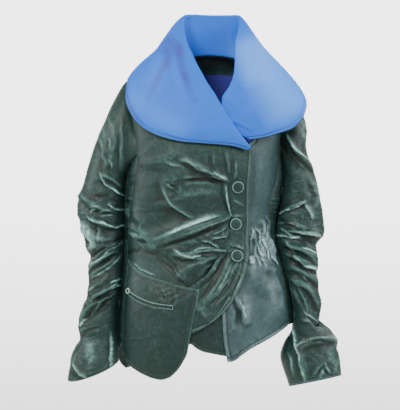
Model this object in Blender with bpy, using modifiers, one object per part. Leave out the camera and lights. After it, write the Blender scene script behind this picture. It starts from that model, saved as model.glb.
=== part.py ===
"""A short asymmetric velvet coat, worn: draped right front, plain left front, great shawl collar.

All tables are in millimetres. The coat faces -Y, its wearer's right side is at -X, and the
origin lies between the shoulders, where the wearer carries it. Every cloth piece is a wall
laid on one body form or on its own tube, and folds are raised in that wall from a table.
"""

import math

import bmesh
import bpy
import numpy as np

# Driving dimensions
MM = 0.001
WALL = 2.0
SILK_WALL = 1.2
SEAM_GAP = 0.3
ROUNDNESS = 2.4
BUTTON_RADIUS = 15.0
BUTTON_HEIGHT = 5.0
COLLAR_SEAT = 2.4
HEM_LEVEL = -742.0

# How far each layer of the front lies proud of the body form
LAYER = {"underlap": 0.0, "front_left": 3.2, "skirt": 6.6, "band": 9.6, "front_right": 9.9, "pocket": 9.6}
DEEPEST_TROUGH = -0.5

# Colours as red, green, blue, with roughness
VELVET = ((0.060, 0.125, 0.105), 0.75)
VELVET_GREY = ((0.085, 0.140, 0.145), 0.70)
SILK_BLUE = ((0.175, 0.330, 0.760), 0.45)
SILK_VIOLET = ((0.075, 0.065, 0.330), 0.50)

# The body form: a row for each level, named by its height at the centre of the front
FORM_COLUMNS = ("level", "side_z", "back_z", "half_width", "shift", "front", "back")
FORM = (
    (-28, 40, 56, 78, 12, 62, 56),
    (-44, 30, 50, 112, 9, 80, 72),
    (-62, 12, 36, 160, 4, 94, 88),
    (-78, -8, 18, 194, 0, 102, 96),
    (-110, -62, -40, 192, 2, 112, 102),
    (-150, -122, -100, 189, 4, 119, 104),
    (-190, -178, -165, 188, 4, 123, 102),
    (-230, -228, -225, 185, 2, 124, 98),
    (-300, -300, -300, 182, -6, 116, 88),
    (-350, -350, -350, 180, -10, 108, 84),
    (-400, -400, -400, 182, -10, 106, 88),
    (-450, -450, -450, 189, -5, 112, 98),
    (-500, -500, -500, 197, 0, 122, 108),
    (-560, -560, -560, 205, 4, 132, 116),
    (-640, -640, -640, 211, 6, 140, 122),
    (-760, -760, -760, 214, 7, 146, 128),
)
SHOULDER_LEVEL = -78
NECK_LEVEL = -28

# The collar: a row for each section, from the right front corner round the neck to the left one
COLLAR_COLUMNS = (
    "neck_x", "neck_z", "behind", "roll_x", "roll_y", "roll_z",
    "edge_x", "edge_y", "edge_z", "bulge", "radius",
)
COLLAR = (
    (98, -178, 0, 112, -134, -185, 104, -134, -191, 0, 3.2),
    (84, -158, 0, 95, -139, -163, 62, -141, -180, 2, 4),
    (62, -128, 0, 75, -139, -136, 5, -142, -175, 6, 5),
    (35, -92, 0, 50, -134, -97, -55, -138, -170, 10, 5),
    (8, -58, 0, 25, -121, -55, -105, -130, -158, 14, 5),
    (-18, -36, 0, -2, -100, -10, -150, -115, -136, 18, 5),
    (-40, -10, 0, -26, -78, 38, -180, -101, -104, 20, 5),
    (-57, 14, 0, -44, -50, 80, -197, -76, -54, 18, 5),
    (-65, 38, 0, -53, -8, 122, -192, -36, -2, 14, 5),
    (-58, 46, 1, -47, 28, 145, -166, 47, 19, 10, 5),
    (-30, 53, 1, -25, 50, 150, -100, 106, -2, 10, 5),
    (12, 56, 1, 20, 56, 149, 8, 122, -24, 10, 5),
    (54, 53, 1, 62, 50, 148, 116, 106, -2, 10, 5),
    (82, 46, 1, 84, 28, 144, 178, 47, 18, 10, 5),
    (89, 38, 0, 86, -6, 124, 212, -26, -2, 12, 5),
    (84, 10, 0, 79, -42, 88, 240, -66, -38, 14, 5),
    (80, -18, 0, 76, -66, 50, 250, -92, -72, 14, 5),
    (80, -50, 0, 72, -92, 8, 242, -112, -104, 12, 5),
    (84, -80, 0, 60, -109, -32, 214, -119, -136, 8, 5),
    (92, -106, 0, 42, -116, -62, 178, -123, -149, 6, 4),
    (100, -128, 0, 40, -117.5, -86, 148, -124, -158, 4, 3.2),
    (110, -148, 0, 54, -119, -114, 125, -124, -162, 2, 3.2),
    (118, -164, 0, 84, -120.5, -150, 108, -122, -164, 0, 3.2),
)

# Armholes on the form, from the shoulder tip: front points, underarm, back points
ARMHOLE_COLUMNS = ("x", "z", "behind", "layer")
ARMHOLE_RIGHT = (
    (-194, -8, 0, 3.2),
    (-187, -52, 0, 5.0),
    (-176, -105, 0, 8.2),
    (-166, -155, 0, 9.9),
    (-161, -198, 0, 9.0),
    (-188, -236, 0, 6.6),
    (-172, -200, 1, 4.0),
    (-166, -150, 1, 3.2),
    (-172, -98, 1, 3.2),
    (-186, -45, 1, 3.2),
)
ARMHOLE_LEFT = (
    (194, -8, 0, 3.2),
    (190, -52, 0, 3.2),
    (187, -105, 0, 3.2),
    (186, -150, 0, 3.2),
    (184, -192, 0, 3.2),
    (190, -228, 0, 3.2),
    (176, -196, 1, 3.2),
    (170, -150, 1, 3.2),
    (174, -98, 1, 3.2),
    (186, -45, 1, 3.2),
)
SLEEVE_HEAD_GAP = 4.8
UNDERARM_DROP = 3.0
UNDERARM_RISE = 36.0

# Sleeves and cuffs: a row for each ring, by its outer and inner edge seen from the front
RING_COLUMNS = ("out_x", "out_z", "in_x", "in_z", "mid_y", "half_depth", "bow", "dip")
SLEEVE_RIGHT = (
    (-200, -14, -190, -240, 2, 74, 0, 0),
    (-222, -32, -196, -248, 4, 76, 0, 0),
    (-240, -70, -199, -256, 6, 76, 0, 0),
    (-262, -128, -200, -268, 8, 74, 0, 0),
    (-285, -192, -200, -290, 8, 72, 0, 0),
    (-302, -250, -200, -315, 6, 70, 0, 0),
    (-315, -295, -201, -342, 4, 68, 0, 0),
    (-324, -330, -201, -368, 2, 66, 0, 0),
    (-315, -375, -202, -398, 0, 64, 0, 0),
    (-302, -425, -203, -432, -4, 60, 0, 0),
    (-290, -458, -204, -462, -8, 58, 0, 0),
    (-295, -482, -206, -490, -12, 57, 0, 0),
    (-291, -520, -209, -520, -16, 56, 0, 0),
    (-298, -562, -212, -555, -20, 56, 0, 0),
    (-312, -592, -215, -585, -23, 58, 0, 0),
    (-319, -628, -217, -615, -26, 60, 0, 0),
)
CUFF_RIGHT = (
    (-320, -629, -217.5, -616, -26, 60, 0, 0),
    (-314, -658, -218, -645, -28, 60, 0, 0),
    (-325, -678, -217, -668, -30, 64, 0, 0),
    (-334, -698, -217, -686, -32, 67, 0, 0),
    (-339, -722, -217, -699, -34, 70, 0, 0),
    (-344, -759, -217, -713, -36, 74, 14, 4),
)
SLEEVE_LEFT = (
    (200, -14, 193, -232, 2, 74, 0, 0),
    (232, -34, 198, -240, 4, 76, 0, 0),
    (248, -75, 200, -248, 6, 76, 0, 0),
    (256, -122, 200, -258, 8, 74, 0, 0),
    (256, -165, 199, -270, 8, 72, 0, 0),
    (266, -215, 196, -288, 6, 70, 0, 0),
    (282, -258, 190, -308, 4, 68, 0, 0),
    (292, -310, 183, -338, 2, 66, 0, 0),
    (300, -358, 178, -372, 0, 64, 0, 0),
    (302, -394, 178, -402, -3, 61, 0, 0),
    (281, -426, 182, -430, -6, 58, 0, 0),
    (284, -458, 190, -456, -10, 56, 4, 0),
    (281, -500, 198, -472, -14, 55, 14, 0),
    (286, -545, 202, -482, -18, 55, 26, 0),
    (289, -584, 205, -490, -21, 56, 34, 0),
    (287, -610, 207, -498, -23, 57, 38, 0),
)
CUFF_LEFT = (
    (288, -612, 207.5, -499.5, -23, 57.5, 38, 0),
    (304, -626, 215, -535, -25, 58, 32, 0),
    (318, -642, 221, -575, -27, 60, 22, 0),
    (329, -668, 219, -630, -29, 63, 12, 0),
    (336, -695, 199, -666, -31, 67, 4, 2),
    (340, -722, 189, -702, -33, 71, 0, 6),
    (342, -749, 211, -776, -35, 75, 0, 12),
)

# Folds, seen from the front: a ridge from one end to the other, sharper on its right hand side
FOLD_COLUMNS = ("x1", "z1", "x2", "z2", "bend", "width", "height", "edge")
FOLDS_FRONT_RIGHT = (
    (45, -259, -52, -260, 0, 16, 6, 0.4),
    (65, -354, -118, -414, -6, 24, 13, 0.45),
    (-106, -318, -30, -364, 10, 12, 5, 0.8),
    (60, -442, -75, -448, 6, 13, 8, 0.8),
    (62, -392, 20, -412, 2, 9, 4, 0.8),
    (20, -470, -72, -505, -8, 24, 9, 0.6),
    (-40, -515, -185, -420, 10, 22, 10, 0.6),
    (-90, -272, -56, -290, 0, 8, 4, 0.7),
)
FOLDS_SKIRT = (
    (45, -445, -12, -528, 0, 7, 3, 1.0),
    (62, -450, 12, -545, 0, 7, 3, 1.0),
    (58, -480, -10, -572, 4, 8, 3, 1.0),
)
FOLDS_FRONT_LEFT = (
    (92, -568, 102, -618, 0, 12, 7, 0.8),
    (130, -470, 160, -620, 8, 26, 7, 1.0),
    (112, -380, 120, -470, 0, 10, 4, 1.0),
    (140, -360, 150, -450, 4, 9, 4, 1.0),
)
FOLDS_BACK = (
    (-150, -330, -20, -352, 8, 16, 6, 0.7),
    (10, -372, 140, -345, 8, 15, 6, 0.7),
    (-120, -392, 60, -400, -6, 18, 5, 0.8),
    (-110, -560, -140, -720, 6, 26, 8, 1.0),
    (20, -520, 30, -664, -6, 28, 8, 1.0),
    (130, -500, 160, -625, 6, 24, 7, 1.0),
)
FOLDS_SLEEVE_RIGHT = (
    (-258, -252, -180, -312, 6, 14, 7, 0.6),
    (-310, -300, -200, -338, -14, 13, 8, 0.6),
    (-292, -355, -192, -368, -16, 13, 8, 0.6),
    (-300, -395, -205, -398, -14, 11, 6, 0.7),
    (-300, -440, -205, -425, 8, 12, 7, 0.6),
    (-282, -478, -205, -440, 8, 12, 7, 0.6),
    (-292, -510, -205, -458, 8, 11, 6, 0.7),
    (-300, -548, -205, -500, 8, 11, 6, 0.7),
    (-300, -582, -208, -520, 10, 12, 8, 0.6),
    (-316, -625, -215, -552, 12, 12, 7, 0.7),
)
FOLDS_SLEEVE_LEFT = (
    (202, -148, 270, -238, -8, 13, 6, 0.7),
    (188, -346, 250, -316, 4, 9, 5, 0.7),
    (192, -378, 250, -382, 4, 9, 5, 0.7),
    (180, -402, 290, -400, 8, 12, 9, 0.6),
    (182, -425, 282, -462, 10, 11, 7, 0.6),
    (190, -452, 288, -486, 8, 11, 7, 0.6),
    (196, -480, 285, -530, 14, 12, 8, 0.6),
    (215, -510, 290, -590, 18, 13, 7, 0.7),
)
FOLDS_CUFF_RIGHT = (
    (-330, -700, -290, -755, -10, 10, 4, 0.8),
)
FOLDS_CUFF_LEFT = (
    (216, -625, 245, -760, 4, 12, 6, 0.8),
    (218, -685, 330, -660, 14, 9, 4, 0.8),
)
HIDDEN_SIDE_SHIFT = 17.0
FREE_OF_BODY = 45.0
CUFF_SEAM_RIGHT = 0.5
CUFF_SEAM_LEFT = 2.8


def monotone(keys, values, at):
    """Reads a column between its rows with a cubic that never overshoots."""
    steps = np.diff(keys)
    slopes = np.diff(values) / steps
    tangents = np.empty(len(values))
    tangents[0] = slopes[0]
    tangents[-1] = slopes[-1]
    before, after = slopes[:-1], slopes[1:]
    same_way = before * after > 0
    weight_a = 2 * steps[1:] + steps[:-1]
    weight_b = steps[1:] + 2 * steps[:-1]
    safe_before = np.where(same_way, before, 1.0)
    safe_after = np.where(same_way, after, 1.0)
    mean = (weight_a + weight_b) / (weight_a / safe_before + weight_b / safe_after)
    tangents[1:-1] = np.where(same_way, mean, 0.0)
    index = np.clip(np.searchsorted(keys, at, side="right") - 1, 0, len(steps) - 1)
    u = np.clip((at - keys[index]) / steps[index], 0.0, 1.0)
    rise = (3 - 2 * u) * u * u
    lead = u * (1 - u) ** 2 * tangents[index] - u * u * (1 - u) * tangents[index + 1]
    return values[index] * (1 - rise) + values[index + 1] * rise + steps[index] * lead


def column(table, names, name):
    return np.array([row[names.index(name)] for row in table], float)


def read(table, names, name, at):
    """A column of a table at fractional row numbers."""
    values = column(table, names, name)
    return monotone(np.arange(len(values), dtype=float), values, np.asarray(at, float))


def form_value(name, level):
    return monotone(-column(FORM, FORM_COLUMNS, "level"), column(FORM, FORM_COLUMNS, name), -level)


def form(turn, level):
    """The body form's point at a turn in degrees, 0 in front and 90 at the wearer's left."""
    turn = np.asarray(turn, float)
    level = np.asarray(level, float)
    sine = np.sin(np.radians(turn))
    cosine = np.cos(np.radians(turn))
    aside = np.sign(sine) * np.abs(sine) ** (2 / ROUNDNESS)
    deep = np.abs(cosine) ** (2 / ROUNDNESS)
    x = form_value("shift", level) + form_value("half_width", level) * aside
    y = np.where(cosine > 0, -form_value("front", level), form_value("back", level)) * deep
    middle = np.where(cosine > 0, level, form_value("back_z", level))
    z = middle + (form_value("side_z", level) - middle) * aside**2
    return np.stack([x, y, z], axis=-1)


def form_normal(turn, level):
    """The direction straight out of the form."""
    along = form(turn + 0.5, level) - form(turn - 0.5, level)
    down = form(turn, np.asarray(level) - 1.0) - form(turn, np.asarray(level) + 1.0)
    normal = np.cross(down, along)
    return normal / np.linalg.norm(normal, axis=-1, keepdims=True)


def find_on_form(x, z, behind=False):
    """The turn and level of the form's point that shows at x and z from the front or from behind."""
    x = np.asarray(x, float)
    z = np.asarray(z, float)
    low = np.full(np.broadcast(x, z).shape, float(FORM[-1][0]))
    high = np.full(low.shape, float(NECK_LEVEL))
    for _ in range(40):
        level = (low + high) / 2
        aside = np.clip((x - form_value("shift", level)) / form_value("half_width", level), -1, 1)
        middle = np.where(behind, form_value("back_z", level), level)
        above = middle + (form_value("side_z", level) - middle) * aside**2 > z
        high = np.where(above, level, high)
        low = np.where(above, low, level)
    turn = np.degrees(np.arcsin(np.sign(aside) * np.abs(aside) ** (ROUNDNESS / 2)))
    return np.stack([np.where(behind, 180 - turn, turn), level], axis=-1)


def spline(points, at):
    """A smooth curve through points, read at shares of its length."""
    points = np.asarray(points, float)
    lengths = np.linalg.norm(np.diff(points, axis=0), axis=1)
    keys = np.concatenate([[0.0], np.cumsum(lengths)]) / lengths.sum()
    slopes = np.diff(points, axis=0) / np.diff(keys)[:, None]
    tangents = np.concatenate([slopes[:1], (slopes[:-1] + slopes[1:]) / 2, slopes[-1:]])
    at = np.asarray(at, float)
    index = np.clip(np.searchsorted(keys, at, side="right") - 1, 0, len(lengths) - 1)
    step = np.diff(keys)[index][:, None]
    u = (at[:, None] - keys[index][:, None]) / step
    rise = (3 - 2 * u) * u * u
    lead = u * (1 - u) ** 2 * tangents[index] - u * u * (1 - u) * tangents[index + 1]
    return points[index] * (1 - rise) + points[index + 1] * rise + step * lead


def front(points, layer=0.0):
    """Points seen from the front on a layer of the cloth, as turns and levels of the form."""
    seen = np.asarray(points, float)
    place = find_on_form(seen[:, 0], seen[:, 1])
    for _ in range(6):
        out = form_normal(place[:, 0], place[:, 1]) * layer
        place = find_on_form(seen[:, 0] - out[:, 0], seen[:, 1] - out[:, 2])
    return place


def behind(points):
    """Points seen on the back, as turns and levels of the form."""
    points = np.asarray(points, float)
    return find_on_form(points[:, 0], points[:, 1], behind=True)


def patch(top, bottom, left, right, across, down, span=(0.0, 1.0), drop=(0.0, 1.0), crowding=1.0):
    """A net of turns and levels inside four edges, or on the part of them that a span and a drop give."""
    u = np.linspace(*span, across + 1)
    v = np.linspace(*drop, down + 1) ** crowding
    corners = spline(top, (0, 1)), spline(bottom, (0, 1)), spline(left, (0, 1)), spline(right, (0, 1))
    top, bottom = spline(top, u), spline(bottom, u)
    left, right = spline(left, v), spline(right, v)
    tops, bottoms, lefts, rights = corners
    top = top + (1 - u)[:, None] * (lefts[0] - tops[0]) + u[:, None] * (rights[0] - tops[1])
    bottom = bottom + (1 - u)[:, None] * (lefts[1] - bottoms[0]) + u[:, None] * (rights[1] - bottoms[1])
    u, v = u[None, :, None], v[:, None, None]
    between_sides = left[:, None] * (1 - u) + right[:, None] * u
    between_ends = top[None] * (1 - v) + bottom[None] * v
    straight = (lefts[0] * (1 - u) + rights[0] * u) * (1 - v) + (lefts[1] * (1 - u) + rights[1] * u) * v
    return between_sides + between_ends - straight


def fold_height(folds, x, z):
    """How far the folds of a table raise the cloth at x and z."""
    height = np.zeros(np.shape(x))
    for row in folds:
        fold = dict(zip(FOLD_COLUMNS, row))
        run = np.array([fold["x2"] - fold["x1"], fold["z2"] - fold["z1"]])
        length = np.linalg.norm(run)
        run = run / length
        share = ((x - fold["x1"]) * run[0] + (z - fold["z1"]) * run[1]) / length
        aside = (z - fold["z1"]) * run[0] - (x - fold["x1"]) * run[1]
        aside = aside - fold["bend"] * 4 * share * (1 - share)
        fade = np.clip(np.minimum(share + 0.12, 1.12 - share) / 0.3, 0, 1)
        fade = fade * fade * (3 - 2 * fade)
        width = np.where(aside > 0, fold["width"], fold["width"] * fold["edge"])
        ridge = np.exp(-((aside / width) ** 2))
        trough = np.exp(-(((aside + 1.5 * fold["width"]) / (0.8 * fold["width"])) ** 2))
        height = height + fold["height"] * fade * (ridge - 0.4 * trough)
    return height


def grid_normals(points, closed):
    """Unit normals of a net of points, down its rows and across them."""
    down = np.gradient(points, axis=0)
    if closed:
        along = np.roll(points, -1, axis=1) - np.roll(points, 1, axis=1)
    else:
        along = np.gradient(points, axis=1)
    normal = np.cross(down, along)
    return normal / np.maximum(np.linalg.norm(normal, axis=-1, keepdims=True), 1e-9)


def principled(name, colour, roughness):
    material = bpy.data.materials.new(name)
    material.use_nodes = True
    shader = material.node_tree.nodes["Principled BSDF"]
    shader.inputs["Base Color"].default_value = (*colour, 1.0)
    shader.inputs["Roughness"].default_value = roughness
    shader.inputs["Metallic"].default_value = 0.0
    return material


def add_object(name, mesh, finish):
    piece = bpy.data.objects.new(name, mesh)
    bpy.data.collections["velvet_coat"].objects.link(piece)
    piece.data.materials.append(principled(name, *finish))
    return piece


def cloth(name, points, normals, finish, wall=WALL, closed=False, turned=False):
    """A wall of cloth: a net of points on its outer side, the same net moved inwards, and its rims."""
    rows, columns = points.shape[:2]
    shell = bmesh.new()
    outer = [shell.verts.new(point * MM) for point in points.reshape(-1, 3)]
    inner = [shell.verts.new(point * MM) for point in (points - normals * wall).reshape(-1, 3)]
    spans = columns if closed else columns - 1

    def add(a, b, c, d):
        """Two triangles, cut from a to c, so that both sides of a wall bend along the same line."""
        for face in ((a, b, c), (a, c, d)):
            shell.faces.new(face[::-1] if turned else face)

    for row in range(rows - 1):
        for span in range(spans):
            here = row * columns + span
            beside = row * columns + (span + 1) % columns
            add(outer[here], outer[here + columns], outer[beside + columns], outer[beside])
            add(inner[here], inner[beside], inner[beside + columns], inner[here + columns])
    for span in range(spans):
        beside = (span + 1) % columns
        last, last_beside = (rows - 1) * columns + span, (rows - 1) * columns + beside
        add(outer[span], outer[beside], inner[beside], inner[span])
        add(outer[last_beside], outer[last], inner[last], inner[last_beside])
    if not closed:
        for row in range(rows - 1):
            here, below = row * columns, (row + 1) * columns
            add(outer[below], outer[here], inner[here], inner[below])
            here, below = here + columns - 1, below + columns - 1
            add(outer[here], outer[below], inner[below], inner[here])
    mesh = bpy.data.meshes.new(name)
    shell.to_mesh(mesh)
    shell.free()
    mesh.shade_smooth()
    mesh.set_sharp_from_angle(angle=math.radians(60))
    return add_object(name, mesh, finish)


def panel_points(net, layer, folds=()):
    """A net on the form, moved out by its layer and raised by its folds."""
    turn, level = net[..., 0], net[..., 1]
    base = form(turn, level)
    raised = fold_height(folds, base[..., 0], base[..., 2])
    lift = layer + np.maximum(raised, DEEPEST_TROUGH)
    return base + form_normal(turn, level) * lift[..., None]


def panel(name, net, layer, finish, folds=(), more=0.0, turned=False):
    """A piece of cloth on the form, with an extra lift of its own where it has one."""
    normals = form_normal(net[..., 0], net[..., 1])
    points = panel_points(net, layer, folds) + normals * np.broadcast_to(more, net.shape[:2])[..., None]
    cloth(name, points, normals, finish, turned=turned)


def neck_edge(first, last):
    """The neckline between two rows of the collar, as turns and levels."""
    rows = COLLAR[first:last + 1] if first < last else COLLAR[last:first + 1][::-1]
    x, z, behind_neck = (column(rows, COLLAR_COLUMNS, name) for name in ("neck_x", "neck_z", "behind"))
    return find_on_form(x, z, behind_neck > 0)


def armhole_edge(rows):
    x, z, behind_arm = (column(rows, ARMHOLE_COLUMNS, name) for name in ("x", "z", "behind"))
    return find_on_form(x, z, behind_arm > 0)


def below(edge, level):
    """The part of an edge from a level down, close enough that the next piece follows the same curve."""
    points = spline(edge, np.linspace(0, 1, 161))
    return points[points[:, 1] <= level]


def shoulder_seam(turn, inward):
    """The seam from the shoulder tip in to the neck, at one side of the form."""
    levels = [SHOULDER_LEVEL, -62, -44, NECK_LEVEL - 5, NECK_LEVEL - 2]
    seam = np.array([(turn, level) for level in levels], float)
    return seam if inward else seam[::-1]


RIGHT_CORNER_ROW = 0
RIGHT_SHOULDER_ROW = 8
LEFT_SHOULDER_ROW = 14
LEFT_CORNER_ROW = len(COLLAR) - 1

SEAM_TURN = 0.3
POUCH = 9.0
SHOULDER_LAYER = LAYER["front_left"]


def settle(level):
    """How far the right front lies under its own layer near the shoulder, where nothing is beneath it."""
    share = np.clip((SHOULDER_LEVEL - level) / 80.0, 0, 1)
    return (SHOULDER_LAYER - LAYER["front_right"]) * (1 - share * share * (3 - 2 * share))


def inset(edge, turns):
    """The same edge moved round the form by some degrees."""
    return edge + np.array([turns, 0.0])


# Edges that pieces share
SIDE_OF_FRONT_RIGHT = front(
    ((-166, -198), (-168, -230), (-174, -265), (-182, -312), (-191, -355), (-195, -400)),
    LAYER["front_right"],
)
SIDE_OF_FRONT_RIGHT[0] = find_on_form(-161, -198)
SIDE_OF_SKIRT = front(
    ((-195, -402), (-198, -450), (-200, -510), (-204, -580), (-206, -664)), LAYER["front_right"]
)
SIDE_OF_FRONT_LEFT = front(
    (
        (184, -192), (181, -250), (171, -285), (161, -315), (158, -345), (161, -385),
        (170, -425), (180, -468), (189, -505), (196, -548), (204, -585), (209, -622),
    ),
    LAYER["front_left"],
)
SIDE_OF_FRONT_LEFT[0] = find_on_form(184, -192)
BACK_SIDE_LEFT = behind(
    ((176, -196), (180, -240), (172, -300), (164, -350), (168, -400), (188, -500), (204, -612))
)
BACK_SIDE_RIGHT = behind(
    ((-172, -200), (-178, -240), (-180, -300), (-184, -400), (-193, -560), (-200, HEM_LEVEL))
)

RIGHT_FRONT_EDGE = np.concatenate([armhole_edge(ARMHOLE_RIGHT[:5]), SIDE_OF_FRONT_RIGHT[1:]])
LEFT_FRONT_EDGE = np.concatenate([armhole_edge(ARMHOLE_LEFT[:5]), SIDE_OF_FRONT_LEFT[1:]])
RIGHT_BACK_EDGE = np.concatenate([armhole_edge(ARMHOLE_RIGHT[:5:-1]), BACK_SIDE_RIGHT[1:]])
LEFT_BACK_EDGE = np.concatenate([armhole_edge(ARMHOLE_LEFT[:5:-1]), BACK_SIDE_LEFT[1:]])

# Edges seen from the front or, for the back's hem, on the back
BAND_SEAM = (
    (98, -178), (99, -215), (96, -250), (64, -268), (57, -300),
    (63, -350), (57, -366), (56, -400), (56, -440),
)
DRAPE_EDGE = (
    (-195, -402), (-158, -428), (-120, -450), (-80, -478), (-55, -508), (-30, -527),
    (-12, -520), (18, -476), (42, -451), (62, -440),
)
CUTAWAY_HEM = ((105, -440), (103, -468), (95, -500), (80, -535), (65, -562), (42, -588), (18, -608))
SKIRT_HEM = ((-206, -664), (-140, -655), (-80, -646), (-38, -636), (-12, -625), (18, -608))
FREE_EDGE_LEFT = (
    (118, -164), (88, -192), (64, -228), (51, -275), (46, -330), (44, -400), (43, -480), (43, -560),
    (44, -610), (47, -655), (55, -706),
)
LEFT_HEM = (
    (55, -706), (66, -705), (88, -691), (112, -675), (138, -662), (162, -650), (188, -635), (209, -622),
)
BACK_HEM = ((204, -612), (140, -640), (60, -672), (-40, -690), (-120, -735), (-200, HEM_LEVEL))


def front_right():
    """The draped right front, from shoulder and neck down to its rolled lower edge."""
    layer = LAYER["front_right"]
    neck = neck_edge(RIGHT_SHOULDER_ROW, RIGHT_CORNER_ROW)
    top = np.concatenate([shoulder_seam(-90 + SEAM_TURN, True), neck[1:]])
    left = inset(RIGHT_FRONT_EDGE, SEAM_TURN)
    right = front(BAND_SEAM, layer)
    net = patch(top, front(DRAPE_EDGE, layer), left, right, 20, 20)
    down = np.linspace(0, 1, net.shape[0])[:, None]
    across = np.linspace(0, 1, net.shape[1])[None, :]
    pouch = POUCH * (np.clip((down - 0.55) / 0.3, 0, 1) - np.clip((down - 0.93) / 0.07, 0, 1))
    pouch = pouch * np.sin(np.pi * across) ** 0.6
    turned_edge = 4.0 * np.clip(across * 8 - 7, 0, 1) * np.exp(-(((net[..., 1] + 312) / 34) ** 2))
    panel("front_right", net, layer, VELVET, FOLDS_FRONT_RIGHT, pouch + turned_edge + settle(net[..., 1]))


def front_right_skirt():
    """The right front below the drape, cut away in a curve to the hem."""
    layer = LAYER["skirt"]
    top = front(((-187, -372), (-120, -404), (-40, -424), (40, -432), (105, -440)), layer)
    left = np.concatenate([front(((-187, -372),), layer), SIDE_OF_SKIRT])
    net = patch(top, front(SKIRT_HEM, layer), inset(left, SEAM_TURN), front(CUTAWAY_HEM, layer), 13, 11)
    panel("front_right_skirt", net, layer, VELVET, FOLDS_SKIRT)


def button_band():
    layer = LAYER["band"]
    top = front(((98, -179), (111, -188)), layer)
    bottom = front(((56, -440), (104, -466)), layer)
    left = front(BAND_SEAM, LAYER["front_right"]) + np.array([2 * SEAM_TURN, 0.0])
    right = front(((111, -188), (112, -212), (109, -250), (108, -362), (107, -440), (104, -466)), layer)
    panel("button_band", patch(top, bottom, left, right, 4, 20), layer, VELVET)


def front_left():
    """The plain left front, lapped under the right one and flared to a point."""
    layer = LAYER["front_left"]
    top = shoulder_seam(90 - SEAM_TURN, False)
    neck = neck_edge(LEFT_SHOULDER_ROW, LEFT_CORNER_ROW)
    left = np.concatenate([top[:1], neck[1:], front(FREE_EDGE_LEFT[1:], layer)])
    right = inset(LEFT_FRONT_EDGE, -SEAM_TURN)
    net = patch(top, front(LEFT_HEM, layer), left, right, 15, 25)
    panel("front_left", net, layer, VELVET_GREY, FOLDS_FRONT_LEFT)


def underlap():
    top = front(((-60, -560), (80, -560)))
    bottom = front(((-60, -648), (-38, -660), (-20, -674), (0, -683), (25, -688), (80, -698)))
    left = front(((-60, -560), (-60, -648)))
    right = front(((80, -560), (80, -698)))
    panel("underlap", patch(top, bottom, left, right, 7, 5), LAYER["underlap"], VELVET)


def side_panel(name, front_edge, back_edge, armhole, side, hem_level, layer, rows):
    """The narrow panel between a front and the back, below the armhole."""
    underarm = armhole_edge(armhole[5:6])[0, 1] - UNDERARM_DROP
    front_edge = inset(below(front_edge, underarm + UNDERARM_RISE), side * SEAM_TURN)
    back_edge = inset(below(back_edge, underarm + UNDERARM_RISE), -side * SEAM_TURN)
    top = np.array([front_edge[0], (90.0 * side, underarm), back_edge[0]])
    bottom = np.array([front_edge[-1], (90.0 * side, hem_level), back_edge[-1]])
    net = patch(top, bottom, front_edge, back_edge, 5, rows)
    towards_back = (SHOULDER_LAYER - layer) * np.linspace(0, 1, net.shape[1])[None, :]
    panel(name, net, layer, VELVET, more=towards_back, turned=side < 0)


def back():
    """The whole back, from neck and shoulders to the hem that drops at the wearer's right."""
    rows = COLLAR[LEFT_SHOULDER_ROW:RIGHT_SHOULDER_ROW:-1]
    neck = find_on_form(column(rows, COLLAR_COLUMNS, "neck_x"), column(rows, COLLAR_COLUMNS, "neck_z"), True)
    to_left_tip = shoulder_seam(90 + SEAM_TURN, False)
    to_right_tip = shoulder_seam(270 - SEAM_TURN, False)
    top = np.concatenate([to_left_tip[:1], neck[1:], to_right_tip[:1]])
    right = np.concatenate([to_right_tip, inset(RIGHT_BACK_EDGE, -SEAM_TURN)])
    left = np.concatenate([to_left_tip, inset(LEFT_BACK_EDGE, SEAM_TURN)])
    net = patch(top, behind(BACK_HEM), left, right, 16, 27, crowding=1.3)
    panel("back", net, LAYER["front_left"], VELVET, FOLDS_BACK)


def tube_points(rows, around, down):
    """Rings of a sleeve or cuff, from a table of its outer and inner edges."""
    at = np.linspace(0, len(rows) - 1, down + 1)
    ring = {name: read(rows, RING_COLUMNS, name, at)[:, None] for name in RING_COLUMNS}
    turn = np.linspace(0, 2 * math.pi, around, endpoint=False)[None, :]
    across = np.sign(np.cos(turn)) * np.abs(np.cos(turn)) ** (2 / 2.2)
    deep = np.sign(np.sin(turn)) * np.abs(np.sin(turn)) ** (2 / 2.2)
    x = (ring["out_x"] + ring["in_x"]) / 2 + (ring["out_x"] - ring["in_x"]) / 2 * across
    z = (ring["out_z"] + ring["in_z"]) / 2 + (ring["out_z"] - ring["in_z"]) / 2 * across
    z = z - ring["bow"] * np.abs(deep) + ring["dip"] * deep
    y = ring["mid_y"] - ring["half_depth"] * deep
    return np.stack(np.broadcast_arrays(x, y, z), axis=-1)


def tube_folds(points, folds, side):
    """Raises a tube by its folds in front, and by the same ones turned over and shifted behind."""
    normals = grid_normals(points, closed=True) * -side
    x, z = points[..., 0], points[..., 2]
    facing = np.clip(0.5 - 0.9 * normals[..., 1], 0, 1)
    middle = (x.max(axis=1) + x.min(axis=1))[:, None] / 2
    in_front = fold_height(folds, x, z)
    at_back = fold_height(folds, 2 * middle - x, z + HIDDEN_SIDE_SHIFT)
    rows = np.arange(len(points))
    ends = np.clip(np.minimum(rows, rows[::-1]) / 2, 0, 1)[:, None]
    inside = np.clip(side * (x - middle) / FREE_OF_BODY + 1, 0, 1)
    lift = np.maximum(in_front * facing + at_back * (1 - facing), 3 * DEEPEST_TROUGH) * ends * inside
    return points + normals * lift[..., None], normals


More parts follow.
